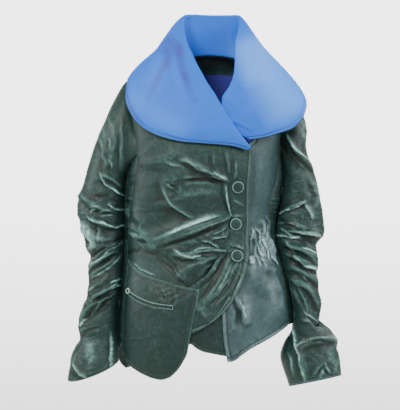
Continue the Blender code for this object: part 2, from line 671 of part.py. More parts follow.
def armhole_ring(rows, around):
    """The armhole as a ring of points, from the shoulder tip down the front and up the back."""
    edge = armhole_edge(rows + rows[:1])
    layers = column(rows + rows[:1], ARMHOLE_COLUMNS, "layer")
    points = form(edge[:, 0], edge[:, 1]) + form_normal(edge[:, 0], edge[:, 1]) * layers[:, None]
    half = around // 2
    down = spline(points[:6], np.linspace(0, 1, half + 1))
    up = spline(points[5:], np.linspace(0, 1, around - half + 1))
    ring = np.concatenate([down, up[1:-1]])
    inward = (ring.mean(axis=0) - ring) * np.array([0.0, 1.0, 1.0])
    inward = inward / np.linalg.norm(inward, axis=1, keepdims=True)
    return ring + inward * SLEEVE_HEAD_GAP


def sleeve(name, rows, armhole, folds, side, around=18, down=26):
    points = tube_points(rows, around, down)
    ring = armhole_ring(armhole, around) + np.array([side * 2 * SEAM_GAP, 0.0, 0.0])
    share = np.clip(np.arange(down + 1) / (down * 0.22), 0, 1)
    blend = (share * share * (3 - 2 * share))[:, None, None]
    points, normals = tube_folds(ring[None] * (1 - blend) + points * blend, folds, side)
    cloth(name, points, normals, VELVET, closed=True, turned=side > 0)


def cuff(name, rows, folds, side, seam, lined=False, around=18, down=7):
    """A flared cuff, a seam's width below its sleeve, with the silk facing in its mouth where that shows."""
    points, normals = tube_folds(tube_points(rows, around, down), folds, side)
    points = points + np.array([0.0, 0.0, -seam])
    cloth(name, points, normals, VELVET, closed=True, turned=side > 0)
    if lined:
        inside = points - normals * (WALL + SEAM_GAP)
        cloth(name.replace("cuff", "cuff_lining"), inside[down - 3:], normals[down - 3:], SILK_VIOLET,
              wall=SILK_WALL, closed=True, turned=side > 0)


def collar_points(sections, across):
    """The collar's silk side: up the stand, over the roll and down the fall."""
    at = np.linspace(0, len(COLLAR) - 1, sections + 1)
    value = {name: read(COLLAR, COLLAR_COLUMNS, name, at) for name in COLLAR_COLUMNS if name != "behind"}
    turn, level = neck_edge(0, len(COLLAR) - 1).T
    keys = np.arange(len(COLLAR), dtype=float)
    layer = np.where(keys < RIGHT_SHOULDER_ROW, LAYER["front_right"] + settle(level), SHOULDER_LAYER)
    on_neck = form(turn, level) + form_normal(turn, level) * (layer + COLLAR_SEAT)[:, None]
    neck = np.stack([monotone(keys, on_neck[:, k], at) for k in range(3)], axis=-1)
    roll = np.stack([value["roll_x"], value["roll_y"], value["roll_z"]], axis=-1)
    edge = np.stack([value["edge_x"], value["edge_y"], value["edge_z"]], axis=-1)
    fall = edge - roll
    length = np.linalg.norm(fall, axis=1, keepdims=True)
    fall = fall / length
    along = np.gradient(roll, axis=0)
    out = np.cross(along, fall)
    out = out / np.linalg.norm(out, axis=1, keepdims=True)
    radius = np.minimum(value["radius"][:, None], 0.3 * length)
    rows = []
    stand_shares = np.linspace(0, 1, max(across // 4, 2), endpoint=False)
    centre = roll + fall * radius
    inner = centre - out * radius
    outer = centre + out * radius
    for share in stand_shares:
        rows.append(neck * (1 - share) + inner * share)
    for angle in np.radians((-90, -45, 0, 45, 90)):
        rows.append(centre + out * radius * math.sin(angle) - fall * radius * math.cos(angle))
    for share in np.linspace(0, 1, across - len(stand_shares) - 3)[1:]:
        swell = value["bulge"][:, None] * math.sin(math.pi * share) ** 0.8
        rows.append(outer * (1 - share) + edge * share + out * swell)
    return np.array(rows)


def collar():
    """The silk side of the collar and the velvet side under it."""
    points = collar_points(32, 12)
    normals = -grid_normals(points, closed=False)
    cloth("collar", points, normals, SILK_BLUE, wall=SILK_WALL, turned=True)
    under = points - normals * (SILK_WALL + SEAM_GAP)
    cloth("under_collar", under, normals, VELVET, wall=SILK_WALL, turned=True)


POCKET_TOP = (
    (-192, -461), (-180, -475), (-162, -488), (-138, -500), (-112, -509), (-88, -516),
    (-62, -524), (-38, -529), (-15, -532),
)
POCKET_RIGHT = ((-15, -532), (-20, -562), (-28, -592), (-34, -625), (-40, -658), (-46, -688), (-56, -708))
POCKET_LEFT = (
    (-192, -461), (-196, -488), (-201, -538), (-204, -588), (-206, -638), (-207, -675), (-205, -695),
)
POCKET_BOTTOM = (
    (-205, -695), (-188, -720), (-168, -732), (-145, -742), (-125, -748), (-108, -750),
    (-90, -745), (-78, -736), (-66, -723), (-56, -708),
)
POCKET_SWELL = 9.0


WELT_SPAN = (0.1, 0.66)
WELT_DROP = (0.245, 0.285)
RING_AT = (0.045, 0.262)
RING_RADIUS = 5.5
RING_THICKNESS = 1.5
RING_LIFT = 1.9


def on_pocket(name, layer, across, down, span=(0.0, 1.0), drop=(0.0, 1.0)):
    """A piece of cloth that follows the swollen pocket, or covers a part of it."""
    edges = [front(edge, LAYER["pocket"]) for edge in (POCKET_TOP, POCKET_BOTTOM, POCKET_LEFT, POCKET_RIGHT)]
    net = patch(*edges, across, down, span, drop)
    share = np.linspace(*span, across + 1)[None, :]
    fall = np.linspace(*drop, down + 1)[:, None]
    swell = POCKET_SWELL * np.sin(np.pi * share) * np.sin(np.pi * fall**0.8)
    panel(name, net, layer, VELVET, more=swell)


def pocket():
    """The large patch pocket, slightly swollen, with the welt that lies across it."""
    on_pocket("pocket", LAYER["pocket"], 10, 10)
    on_pocket("pocket_welt", LAYER["pocket"] + WALL + 1.5 * SEAM_GAP, 8, 1, WELT_SPAN, WELT_DROP)


def pocket_ring(around=12, through=6):
    """The stay ring at the outer end of the welt, flat on the pocket."""
    edges = [front(edge, LAYER["pocket"]) for edge in (POCKET_TOP, POCKET_BOTTOM, POCKET_LEFT, POCKET_RIGHT)]
    share, fall = RING_AT
    place = patch(*edges, 1, 1, (share, share + 0.01), (fall, fall + 0.01))[0, 0]
    normal = form_normal(place[0], place[1])
    aside = np.cross(normal, np.array([0.0, 0.0, 1.0]))
    aside = aside / np.linalg.norm(aside)
    up = np.cross(aside, normal)
    centre = form(place[0], place[1]) + normal * (LAYER["pocket"] + RING_THICKNESS + RING_LIFT)
    mesh = bpy.data.meshes.new("pocket_ring")
    corners = []
    faces = []
    for step in range(around):
        turn = 2 * math.pi * step / around
        out = aside * math.cos(turn) + up * math.sin(turn)
        for corner in range(through):
            angle = 2 * math.pi * corner / through
            reach = RING_RADIUS + RING_THICKNESS * math.cos(angle)
            corners.append((centre + out * reach + normal * RING_THICKNESS * math.sin(angle)) * MM)
            beside = (corner + 1) % through
            here, there = step * through, (step + 1) % around * through
            faces.append((here + corner, here + beside, there + beside, there + corner))
    mesh.from_pydata(corners, [], faces)
    mesh.shade_smooth()
    add_object("pocket_ring", mesh, VELVET)


BUTTONS = ((80, -281), (75, -372), (78, -450))


def button(name, x, z):
    """A covered button: a domed disc whose back lies on the band."""
    profile = ((0.0, 1.0), (0.55, 0.96), (0.86, 0.78), (1.0, 0.42), (0.93, 0.0), (0.0, 0.0))
    mesh = bpy.data.meshes.new(name)
    corners = [(r * BUTTON_RADIUS * MM, 0.0, h * BUTTON_HEIGHT * MM) for r, h in profile]
    mesh.from_pydata(corners, [(k, k + 1) for k in range(len(corners) - 1)], [])
    piece = add_object(name, mesh, VELVET)
    place = front(((x, z),), LAYER["band"])[0]
    normal = form_normal(place[0], place[1])
    point = form(place[0], place[1]) + normal * (LAYER["band"] + SEAM_GAP)
    piece.location = point * MM
    tilt = math.atan2(normal[0], -normal[1])
    rise = math.asin(normal[2])
    piece.rotation_euler = (math.pi / 2 - rise, 0.0, tilt)
    screw = piece.modifiers.new("turned", "SCREW")
    screw.steps = 18
    screw.render_steps = 18
    screw.use_merge_vertices = True
    screw.merge_threshold = 0.00001
    return piece


def main():
    for piece in list(bpy.data.objects):
        bpy.data.objects.remove(piece, do_unlink=True)
    coat = bpy.data.collections.new("velvet_coat")
    bpy.context.scene.collection.children.link(coat)
    underlap()
    front_left()
    button_band()
    front_right_skirt()
    front_right()
    right_edge = np.concatenate([RIGHT_FRONT_EDGE, SIDE_OF_SKIRT[1:]])
    side_panel("side_right", right_edge, inset(RIGHT_BACK_EDGE, -360.0), ARMHOLE_RIGHT, -1, -705.0,
               LAYER["skirt"], 16)
    side_panel("side_left", LEFT_FRONT_EDGE, LEFT_BACK_EDGE, ARMHOLE_LEFT, 1, -618.0,
               LAYER["front_left"], 18)
    back()
    sleeve("sleeve_right", SLEEVE_RIGHT, ARMHOLE_RIGHT, FOLDS_SLEEVE_RIGHT, -1)
    sleeve("sleeve_left", SLEEVE_LEFT, ARMHOLE_LEFT, FOLDS_SLEEVE_LEFT, 1)
    cuff("cuff_right", CUFF_RIGHT, FOLDS_CUFF_RIGHT, -1, CUFF_SEAM_RIGHT)
    cuff("cuff_left", CUFF_LEFT, FOLDS_CUFF_LEFT, 1, CUFF_SEAM_LEFT, lined=True)
    collar()
    pocket()
    pocket_ring()
    for number, (x, z) in enumerate(BUTTONS, start=1):
        button(f"button_{number}", x, z)


main()
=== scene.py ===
import math

import bpy
import mathutils
import numpy as np
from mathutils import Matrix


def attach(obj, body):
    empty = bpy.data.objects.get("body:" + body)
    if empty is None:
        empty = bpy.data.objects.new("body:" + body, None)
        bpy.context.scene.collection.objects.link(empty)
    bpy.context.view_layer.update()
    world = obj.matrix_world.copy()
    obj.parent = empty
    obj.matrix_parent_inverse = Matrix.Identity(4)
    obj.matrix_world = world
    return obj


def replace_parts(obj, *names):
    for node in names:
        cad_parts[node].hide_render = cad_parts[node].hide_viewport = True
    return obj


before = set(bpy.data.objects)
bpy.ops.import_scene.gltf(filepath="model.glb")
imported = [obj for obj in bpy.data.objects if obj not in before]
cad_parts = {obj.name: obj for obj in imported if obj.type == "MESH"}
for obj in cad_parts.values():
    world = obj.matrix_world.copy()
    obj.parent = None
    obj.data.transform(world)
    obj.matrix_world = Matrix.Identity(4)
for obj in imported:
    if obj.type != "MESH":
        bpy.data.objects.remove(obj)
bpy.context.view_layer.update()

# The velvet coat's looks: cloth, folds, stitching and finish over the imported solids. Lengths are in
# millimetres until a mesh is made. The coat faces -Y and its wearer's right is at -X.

# Driving dimensions
MM = 0.001
WALL = 2.0
SILK_WALL = 1.2
SEAM_GAP = 0.3
ROUNDNESS = 2.4
BUTTON_RADIUS = 15.0
BUTTON_HEIGHT = 5.0
COLLAR_SEAT = 2.4
ROLL_STEPS = 15
ROLL_SHARE = 0.3
BULGE_POWER = 0.8
TUBE_ROUNDNESS = 2.2
HEM_LEVEL = -742.0
TINY = 1e-9
HALVINGS = 40
FRONT_PASSES = 6
EDGE_SAMPLES = 161

# How far each layer of the front lies proud of the body form
LAYER = {"underlap": 0.0, "front_left": 3.2, "skirt": 6.6, "band": 9.6, "front_right": 9.9, "pocket": 9.6}


# The body form: a row for each level, named by its height at the centre of the front
FORM_COLUMNS = ("level", "side_z", "back_z", "half_width", "shift", "front", "back")
FORM = (
    (-28, 40, 56, 78, 12, 62, 56),
    (-44, 30, 50, 112, 9, 80, 72),
    (-62, 12, 36, 160, 4, 94, 88),
    (-78, -8, 18, 194, 0, 102, 96),
    (-110, -62, -40, 192, 2, 112, 102),
    (-150, -122, -100, 189, 4, 119, 104),
    (-190, -178, -165, 188, 4, 123, 102),
    (-230, -228, -225, 185, 2, 124, 98),
    (-300, -300, -300, 182, -6, 116, 88),
    (-350, -350, -350, 180, -10, 108, 84),
    (-400, -400, -400, 182, -10, 106, 88),
    (-450, -450, -450, 189, -5, 112, 98),
    (-500, -500, -500, 197, 0, 122, 108),
    (-560, -560, -560, 205, 4, 132, 116),
    (-640, -640, -640, 211, 6, 140, 122),
    (-760, -760, -760, 214, 7, 146, 128),
)
SHOULDER_LEVEL = -78
NECK_LEVEL = -28

# The collar: a row for each section, from the right front corner round the neck to the left one
COLLAR_COLUMNS = (
    "neck_x", "neck_z", "behind", "roll_x", "roll_y", "roll_z",
    "edge_x", "edge_y", "edge_z", "bulge", "radius",
)
COLLAR = (
    (98, -178, 0, 112, -134, -185, 104, -134, -191, 0, 3.2),
    (84, -158, 0, 95, -139, -163, 62, -141, -180, 2, 4),
    (62, -128, 0, 75, -139, -136, 5, -142, -175, 6, 5),
    (35, -92, 0, 50, -134, -97, -55, -138, -170, 10, 5),
    (8, -58, 0, 25, -121, -55, -105, -130, -158, 14, 5),
    (-18, -36, 0, -2, -100, -10, -150, -115, -136, 18, 5),
    (-40, -10, 0, -26, -78, 38, -180, -101, -104, 20, 5),
    (-57, 14, 0, -44, -50, 80, -197, -76, -54, 18, 5),
    (-65, 38, 0, -53, -8, 122, -192, -36, -2, 14, 5),
    (-58, 46, 1, -47, 28, 145, -166, 47, 19, 10, 5),
    (-30, 53, 1, -25, 50, 150, -100, 106, -2, 10, 5),
    (12, 56, 1, 20, 56, 149, 8, 122, -24, 10, 5),
    (54, 53, 1, 62, 50, 148, 116, 106, -2, 10, 5),
    (82, 46, 1, 84, 28, 144, 178, 47, 18, 10, 5),
    (89, 38, 0, 86, -6, 124, 212, -26, -2, 12, 5),
    (84, 10, 0, 79, -42, 88, 240, -66, -38, 14, 5),
    (80, -18, 0, 76, -66, 50, 250, -92, -72, 14, 5),
    (80, -50, 0, 72, -92, 8, 242, -112, -104, 12, 5),
    (84, -80, 0, 60, -109, -32, 214, -119, -136, 8, 5),
    (92, -106, 0, 42, -116, -62, 178, -123, -149, 6, 4),
    (100, -128, 0, 40, -117.5, -86, 148, -124, -158, 4, 3.2),
    (110, -148, 0, 54, -119, -114, 125, -124, -162, 2, 3.2),
    (118, -164, 0, 84, -120.5, -150, 108, -122, -164, 0, 3.2),
)

# Armholes on the form, from the shoulder tip: front points, underarm, back points
ARMHOLE_COLUMNS = ("x", "z", "behind", "layer")
ARMHOLE_RIGHT = (
    (-194, -8, 0, 3.2),
    (-187, -52, 0, 5),
    (-176, -105, 0, 8.2),
    (-166, -155, 0, 9.9),
    (-161, -198, 0, 9),
    (-188, -236, 0, 6.6),
    (-172, -200, 1, 4),
    (-166, -150, 1, 3.2),
    (-172, -98, 1, 3.2),
    (-186, -45, 1, 3.2),
)
ARMHOLE_LEFT = (
    (194, -8, 0, 3.2),
    (190, -52, 0, 3.2),
    (187, -105, 0, 3.2),
    (186, -150, 0, 3.2),
    (184, -192, 0, 3.2),
    (190, -228, 0, 3.2),
    (176, -196, 1, 3.2),
    (170, -150, 1, 3.2),
    (174, -98, 1, 3.2),
    (186, -45, 1, 3.2),
)
UNDERARM_ROW = 5
SLEEVE_HEAD_GAP = 2.6
UNDERARM_DROP = 3.0
UNDERARM_RISE = 36.0

# Sleeves and cuffs: a row for each ring, by its outer and inner edge seen from the front
RING_COLUMNS = ("out_x", "out_z", "in_x", "in_z", "mid_y", "half_depth", "bow", "dip")
SLEEVE_RIGHT = (
    (-200, -14, -190, -240, 2, 74, 0, 0),
    (-222, -32, -196, -248, 4, 76, 0, 0),
    (-240, -70, -199, -256, 6, 76, 0, 0),
    (-262, -128, -200, -268, 8, 74, 0, 0),
    (-285, -192, -200, -290, 8, 72, 0, 0),
    (-302, -250, -200, -315, 6, 70, 0, 0),
    (-315, -295, -201, -342, 4, 68, 0, 0),
    (-324, -330, -201, -368, 2, 66, 0, 0),
    (-315, -375, -202, -398, 0, 64, 0, 0),
    (-302, -425, -203, -432, -4, 60, 0, 0),
    (-290, -458, -204, -462, -8, 58, 0, 0),
    (-295, -482, -206, -490, -12, 57, 0, 0),
    (-291, -520, -209, -520, -16, 56, 0, 0),
    (-298, -562, -212, -555, -20, 56, 0, 0),
    (-312, -592, -215, -585, -23, 58, 0, 0),
    (-319, -628, -217, -615, -26, 60, 0, 0),
)
CUFF_RIGHT = (
    (-320, -629, -217.5, -616, -26, 60, 0, 0),
    (-314, -658, -218, -645, -28, 60, 0, 0),
    (-325, -678, -217, -668, -30, 64, 0, 0),
    (-334, -698, -217, -686, -32, 67, 0, 0),
    (-339, -722, -217, -699, -34, 70, 0, 0),
    (-344, -759, -217, -713, -36, 74, 14, 4),
)
SLEEVE_LEFT = (
    (200, -14, 193, -232, 2, 74, 0, 0),
    (232, -34, 198, -240, 4, 76, 0, 0),
    (248, -75, 200, -248, 6, 76, 0, 0),
    (256, -122, 200, -258, 8, 74, 0, 0),
    (256, -165, 199, -270, 8, 72, 0, 0),
    (266, -215, 196, -288, 6, 70, 0, 0),
    (282, -258, 190, -308, 4, 68, 0, 0),
    (292, -310, 183, -338, 2, 66, 0, 0),
    (300, -358, 178, -372, 0, 64, 0, 0),
    (302, -394, 178, -402, -3, 61, 0, 0),
    (281, -426, 182, -430, -6, 58, 0, 0),
    (284, -458, 190, -456, -10, 56, 4, 0),
    (281, -500, 198, -472, -14, 55, 14, 0),
    (286, -545, 202, -482, -18, 55, 26, 0),
    (289, -584, 205, -490, -21, 56, 34, 0),
    (287, -610, 207, -498, -23, 57, 38, 0),
)
CUFF_LEFT = (
    (288, -612, 207.5, -499.5, -23, 57.5, 38, 0),
    (304, -626, 215, -535, -25, 58, 32, 0),
    (318, -642, 221, -575, -27, 60, 22, 0),
    (329, -668, 219, -630, -29, 63, 12, 0),
    (336, -695, 199, -666, -31, 67, 4, 2),
    (340, -722, 189, -702, -33, 71, 0, 6),
    (342, -749, 211, -776, -35, 75, 0, 12),
)

# Folds, seen from the front: a ridge from one end to the other, sharper on its right hand side
FOLD_COLUMNS = ("x1", "z1", "x2", "z2", "bend", "width", "height", "edge")
FOLDS_FRONT_RIGHT = (
    (45, -259, -52, -260, 0, 16, 6, 0.4),
    (65, -354, -118, -414, -6, 24, 13, 0.45),
    (-106, -318, -30, -364, 10, 12, 5, 0.8),
    (60, -442, -75, -448, 6, 13, 8, 0.8),
    (62, -392, 20, -412, 2, 9, 4, 0.8),
    (20, -470, -72, -505, -8, 24, 9, 0.6),
    (-40, -515, -185, -420, 10, 22, 10, 0.6),
    (-90, -272, -56, -290, 0, 8, 4, 0.7),
)
FOLDS_SKIRT = (
    (45, -445, -12, -528, 0, 7, 3, 1),
    (62, -450, 12, -545, 0, 7, 3, 1),
    (58, -480, -10, -572, 4, 8, 3, 1),
)
FOLDS_FRONT_LEFT = (
    (92, -568, 102, -618, 0, 12, 7, 0.8),
    (130, -470, 160, -620, 8, 26, 7, 1),
    (112, -380, 120, -470, 0, 10, 4, 1),
    (140, -360, 150, -450, 4, 9, 4, 1),
)
FOLDS_BACK = (
    (-150, -330, -20, -352, 8, 16, 6, 0.7),
    (10, -372, 140, -345, 8, 15, 6, 0.7),
    (-120, -392, 60, -400, -6, 18, 5, 0.8),
    (-110, -560, -140, -720, 6, 26, 8, 1),
    (20, -520, 30, -664, -6, 28, 8, 1),
    (130, -500, 160, -625, 6, 24, 7, 1),
)
FOLDS_SLEEVE_RIGHT = (
    (-258, -252, -180, -312, 6, 14, 7, 0.6),
    (-310, -300, -200, -338, -14, 13, 8, 0.6),
    (-292, -355, -192, -368, -16, 13, 8, 0.6),
    (-300, -395, -205, -398, -14, 11, 6, 0.7),
    (-300, -440, -205, -425, 8, 12, 7, 0.6),
    (-282, -478, -205, -440, 8, 12, 7, 0.6),
    (-292, -510, -205, -458, 8, 11, 6, 0.7),
    (-300, -548, -205, -500, 8, 11, 6, 0.7),
    (-300, -582, -208, -520, 10, 12, 8, 0.6),
    (-316, -625, -215, -552, 12, 12, 7, 0.7),
)
FOLDS_SLEEVE_LEFT = (
    (202, -148, 270, -238, -8, 13, 6, 0.7),
    (188, -346, 250, -316, 4, 9, 5, 0.7),
    (192, -378, 250, -382, 4, 9, 5, 0.7),
    (180, -402, 290, -400, 8, 12, 9, 0.6),
    (182, -425, 282, -462, 10, 11, 7, 0.6),
    (190, -452, 288, -486, 8, 11, 7, 0.6),
    (196, -480, 285, -530, 14, 12, 8, 0.6),
    (215, -510, 290, -590, 18, 13, 7, 0.7),
)
FOLDS_CUFF_RIGHT = (
    (-330, -700, -290, -755, -10, 10, 4, 0.8),
)
FOLDS_CUFF_LEFT = (
    (216, -625, 245, -760, 4, 12, 6, 0.8),
    (218, -685, 330, -660, 14, 9, 4, 0.8),
)
HIDDEN_SIDE_SHIFT = 17.0
FREE_OF_BODY = 45.0
CUFF_SEAM_RIGHT = 0.5
CUFF_SEAM_LEFT = 2.8


def monotone(keys, values, at):
    """Reads a column between its rows with a cubic that never overshoots."""
    steps = np.diff(keys)
    slopes = np.diff(values) / steps
    tangents = np.empty(len(values))
    tangents[0] = slopes[0]
    tangents[-1] = slopes[-1]
    before, after = slopes[:-1], slopes[1:]
    same_way = before * after > 0
    weight_a = 2 * steps[1:] + steps[:-1]
    weight_b = steps[1:] + 2 * steps[:-1]
    safe_before = np.where(same_way, before, 1.0)
    safe_after = np.where(same_way, after, 1.0)
    mean = (weight_a + weight_b) / (weight_a / safe_before + weight_b / safe_after)
    tangents[1:-1] = np.where(same_way, mean, 0.0)
    index = np.clip(np.searchsorted(keys, at, side="right") - 1, 0, len(steps) - 1)
    u = np.clip((at - keys[index]) / steps[index], 0.0, 1.0)
    rise = (3 - 2 * u) * u * u
    lead = u * (1 - u) ** 2 * tangents[index] - u * u * (1 - u) * tangents[index + 1]
    return values[index] * (1 - rise) + values[index + 1] * rise + steps[index] * lead


def ease(values):
    """Shares from 0 to 1, slow at both ends."""
    values = np.clip(values, 0, 1)
    return values * values * (3 - 2 * values)


def unit(vectors):
    return vectors / np.maximum(np.linalg.norm(vectors, axis=-1, keepdims=True), TINY)


def column(table, names, name):
    return np.array([row[names.index(name)] for row in table], float)


def read(table, names, name, at):
    """A column of a table at fractional row numbers."""
    values = column(table, names, name)
    return monotone(np.arange(len(values), dtype=float), values, np.asarray(at, float))


def form_value(name, level):
    return monotone(-column(FORM, FORM_COLUMNS, "level"), column(FORM, FORM_COLUMNS, name), -level)


def form(turn, level):
    """The body form's point at a turn in degrees, 0 in front and 90 at the wearer's left."""
    turn = np.asarray(turn, float)
    level = np.asarray(level, float)
    sine = np.sin(np.radians(turn))
    cosine = np.cos(np.radians(turn))
    aside = np.sign(sine) * np.abs(sine) ** (2 / ROUNDNESS)
    deep = np.abs(cosine) ** (2 / ROUNDNESS)
    x = form_value("shift", level) + form_value("half_width", level) * aside
    y = np.where(cosine > 0, -form_value("front", level), form_value("back", level)) * deep
    middle = np.where(cosine > 0, level, form_value("back_z", level))
    z = middle + (form_value("side_z", level) - middle) * aside**2
    return np.stack([x, y, z], axis=-1)


def form_normal(turn, level):
    """The direction straight out of the form."""
    along = form(turn + 0.5, level) - form(turn - 0.5, level)
    down = form(turn, np.asarray(level) - 1.0) - form(turn, np.asarray(level) + 1.0)
    return unit(np.cross(down, along))


def find_on_form(x, z, behind=False):
    """The turn and level of the form's point that shows at x and z from the front or from behind."""
    x = np.asarray(x, float)
    z = np.asarray(z, float)
    low = np.full(np.broadcast(x, z).shape, float(FORM[-1][0]))
    high = np.full(low.shape, float(NECK_LEVEL))
    for _ in range(HALVINGS):
        level = (low + high) / 2
        aside = np.clip((x - form_value("shift", level)) / form_value("half_width", level), -1, 1)
        middle = np.where(behind, form_value("back_z", level), level)
        above = middle + (form_value("side_z", level) - middle) * aside**2 > z
        high = np.where(above, level, high)
        low = np.where(above, low, level)
    turn = np.degrees(np.arcsin(np.sign(aside) * np.abs(aside) ** (ROUNDNESS / 2)))
    return np.stack([np.where(behind, 180 - turn, turn), level], axis=-1)


def spline(points, at):
    """A smooth curve through points, read at shares of its length."""
    points = np.asarray(points, float)
    lengths = np.linalg.norm(np.diff(points, axis=0), axis=1)
    keys = np.concatenate([[0.0], np.cumsum(lengths)]) / lengths.sum()
    slopes = np.diff(points, axis=0) / np.diff(keys)[:, None]
    tangents = np.concatenate([slopes[:1], (slopes[:-1] + slopes[1:]) / 2, slopes[-1:]])
    at = np.asarray(at, float)
    index = np.clip(np.searchsorted(keys, at, side="right") - 1, 0, len(lengths) - 1)
    step = np.diff(keys)[index][:, None]
    u = (at[:, None] - keys[index][:, None]) / step
    rise = (3 - 2 * u) * u * u
    lead = u * (1 - u) ** 2 * tangents[index] - u * u * (1 - u) * tangents[index + 1]
    return points[index] * (1 - rise) + points[index + 1] * rise + step * lead


def front(points, layer=0.0):
    """Points seen from the front on a layer of the cloth, as turns and levels of the form."""
    seen = np.asarray(points, float)
    place = find_on_form(seen[:, 0], seen[:, 1])
    for _ in range(FRONT_PASSES):
        out = form_normal(place[:, 0], place[:, 1]) * layer
        place = find_on_form(seen[:, 0] - out[:, 0], seen[:, 1] - out[:, 2])
    return place


def behind(points):
    """Points seen on the back, as turns and levels of the form."""
    points = np.asarray(points, float)
    return find_on_form(points[:, 0], points[:, 1], behind=True)


def patch(top, bottom, left, right, across, down, span=(0.0, 1.0), drop=(0.0, 1.0), crowding=1.0):
    """A net of turns and levels inside four edges, or on the part of them that a span and a drop give."""
    u = np.linspace(*span, across + 1)
    v = np.linspace(*drop, down + 1) ** crowding
    corners = spline(top, (0, 1)), spline(bottom, (0, 1)), spline(left, (0, 1)), spline(right, (0, 1))
    top, bottom = spline(top, u), spline(bottom, u)
    left, right = spline(left, v), spline(right, v)
    tops, bottoms, lefts, rights = corners
    top = top + (1 - u)[:, None] * (lefts[0] - tops[0]) + u[:, None] * (rights[0] - tops[1])
    bottom = bottom + (1 - u)[:, None] * (lefts[1] - bottoms[0]) + u[:, None] * (rights[1] - bottoms[1])
    u, v = u[None, :, None], v[:, None, None]
    between_sides = left[:, None] * (1 - u) + right[:, None] * u
    between_ends = top[None] * (1 - v) + bottom[None] * v
    straight = (lefts[0] * (1 - u) + rights[0] * u) * (1 - v) + (lefts[1] * (1 - u) + rights[1] * u) * v
    return between_sides + between_ends - straight


# A fold's section: how far it goes on past its ends, its fade there, and the trough beside it
FOLD_OVERRUN = 0.12
FOLD_FADE = 0.3
TROUGH_PLACE = 1.5
TROUGH_WIDTH = 0.8
TROUGH_DEPTH = 0.4


def fold_run(fold, x, z):
    """How far along a fold each point lies, as a share, and how far beside its bent line."""
    run_x, run_z = fold["x2"] - fold["x1"], fold["z2"] - fold["z1"]
    length = math.hypot(run_x, run_z)
    run_x, run_z = run_x / length, run_z / length
    share = ((x - fold["x1"]) * run_x + (z - fold["z1"]) * run_z) / length
    aside = (z - fold["z1"]) * run_x - (x - fold["x1"]) * run_z
    return share, aside - fold["bend"] * 4 * share * (1 - share)


def fold_height(folds, x, z):
    """How far the folds of a table raise the cloth at x and z."""
    height = np.zeros(np.shape(x))
    for row in folds:
        fold = dict(zip(FOLD_COLUMNS, row))
        share, aside = fold_run(fold, x, z)
        fade = ease(np.minimum(share + FOLD_OVERRUN, 1 + FOLD_OVERRUN - share) / FOLD_FADE)
        width = np.where(aside > 0, fold["width"], fold["width"] * fold["edge"])
        ridge = np.exp(-((aside / width) ** 2))
        trough = np.exp(-(((aside / fold["width"] + TROUGH_PLACE) / TROUGH_WIDTH) ** 2))
        height = height + fold["height"] * fade * (ridge - TROUGH_DEPTH * trough)
    return height


def grid_normals(points, closed):
    """Unit normals of a net of points, down its rows and across them."""
    down = np.gradient(points, axis=0)
    if closed:
        along = np.roll(points, -1, axis=1) - np.roll(points, 1, axis=1)
    else:
        along = np.gradient(points, axis=1)
    return unit(np.cross(down, along))


def neck_edge(first, last):
    """The neckline between two rows of the collar, as turns and levels."""
    rows = COLLAR[first:last + 1] if first < last else COLLAR[last:first + 1][::-1]
    x, z, behind_neck = (column(rows, COLLAR_COLUMNS, name) for name in ("neck_x", "neck_z", "behind"))
    return find_on_form(x, z, behind_neck > 0)


def armhole_edge(rows):
    x, z, behind_arm = (column(rows, ARMHOLE_COLUMNS, name) for name in ("x", "z", "behind"))
    return find_on_form(x, z, behind_arm > 0)


def below(edge, level):
    """The part of an edge from a level down, close enough that the next piece follows the same curve."""
    points = spline(edge, np.linspace(0, 1, EDGE_SAMPLES))
    return points[points[:, 1] <= level]


def shoulder_seam(turn, inward):
    """The seam from the shoulder tip in to the neck, at one side of the form."""
    levels = [SHOULDER_LEVEL, -62, -44, NECK_LEVEL - 5, NECK_LEVEL - 2]
    seam = np.array([(turn, level) for level in levels], float)
    return seam if inward else seam[::-1]


RIGHT_CORNER_ROW = 0
RIGHT_SHOULDER_ROW = 8
LEFT_SHOULDER_ROW = 14
LEFT_CORNER_ROW = len(COLLAR) - 1

SHOULDER_LAYER = LAYER["front_left"]
SETTLE_DROP = 80.0


def settle(level):
    """How far the right front lies under its own layer near the shoulder, where nothing is beneath it."""
    return (SHOULDER_LAYER - LAYER["front_right"]) * (1 - ease((SHOULDER_LEVEL - level) / SETTLE_DROP))


def inset(edge, turns):
    """The same edge moved round the form by some degrees."""
    return edge + np.array([turns, 0.0])


# Edges that pieces share
SIDE_OF_FRONT_RIGHT = front(
    ((-166, -198), (-168, -230), (-174, -265), (-182, -312), (-191, -355), (-195, -400)),
    LAYER["front_right"],
)
SIDE_OF_FRONT_RIGHT[0] = find_on_form(-161, -198)
SIDE_OF_SKIRT = front(
    ((-195, -402), (-198, -450), (-200, -510), (-204, -580), (-206, -664)), LAYER["front_right"]
)
SIDE_OF_FRONT_LEFT = front(
    (
        (184, -192), (181, -250), (171, -285), (161, -315), (158, -345), (161, -385),
        (170, -425), (180, -468), (189, -505), (196, -548), (204, -585), (209, -622),
    ),
    LAYER["front_left"],
)
SIDE_OF_FRONT_LEFT[0] = find_on_form(184, -192)
BACK_SIDE_LEFT = behind(
    ((176, -196), (180, -240), (172, -300), (164, -350), (168, -400), (188, -500), (204, -612))
)
BACK_SIDE_RIGHT = behind(
    ((-172, -200), (-178, -240), (-180, -300), (-184, -400), (-193, -560), (-200, HEM_LEVEL))
)

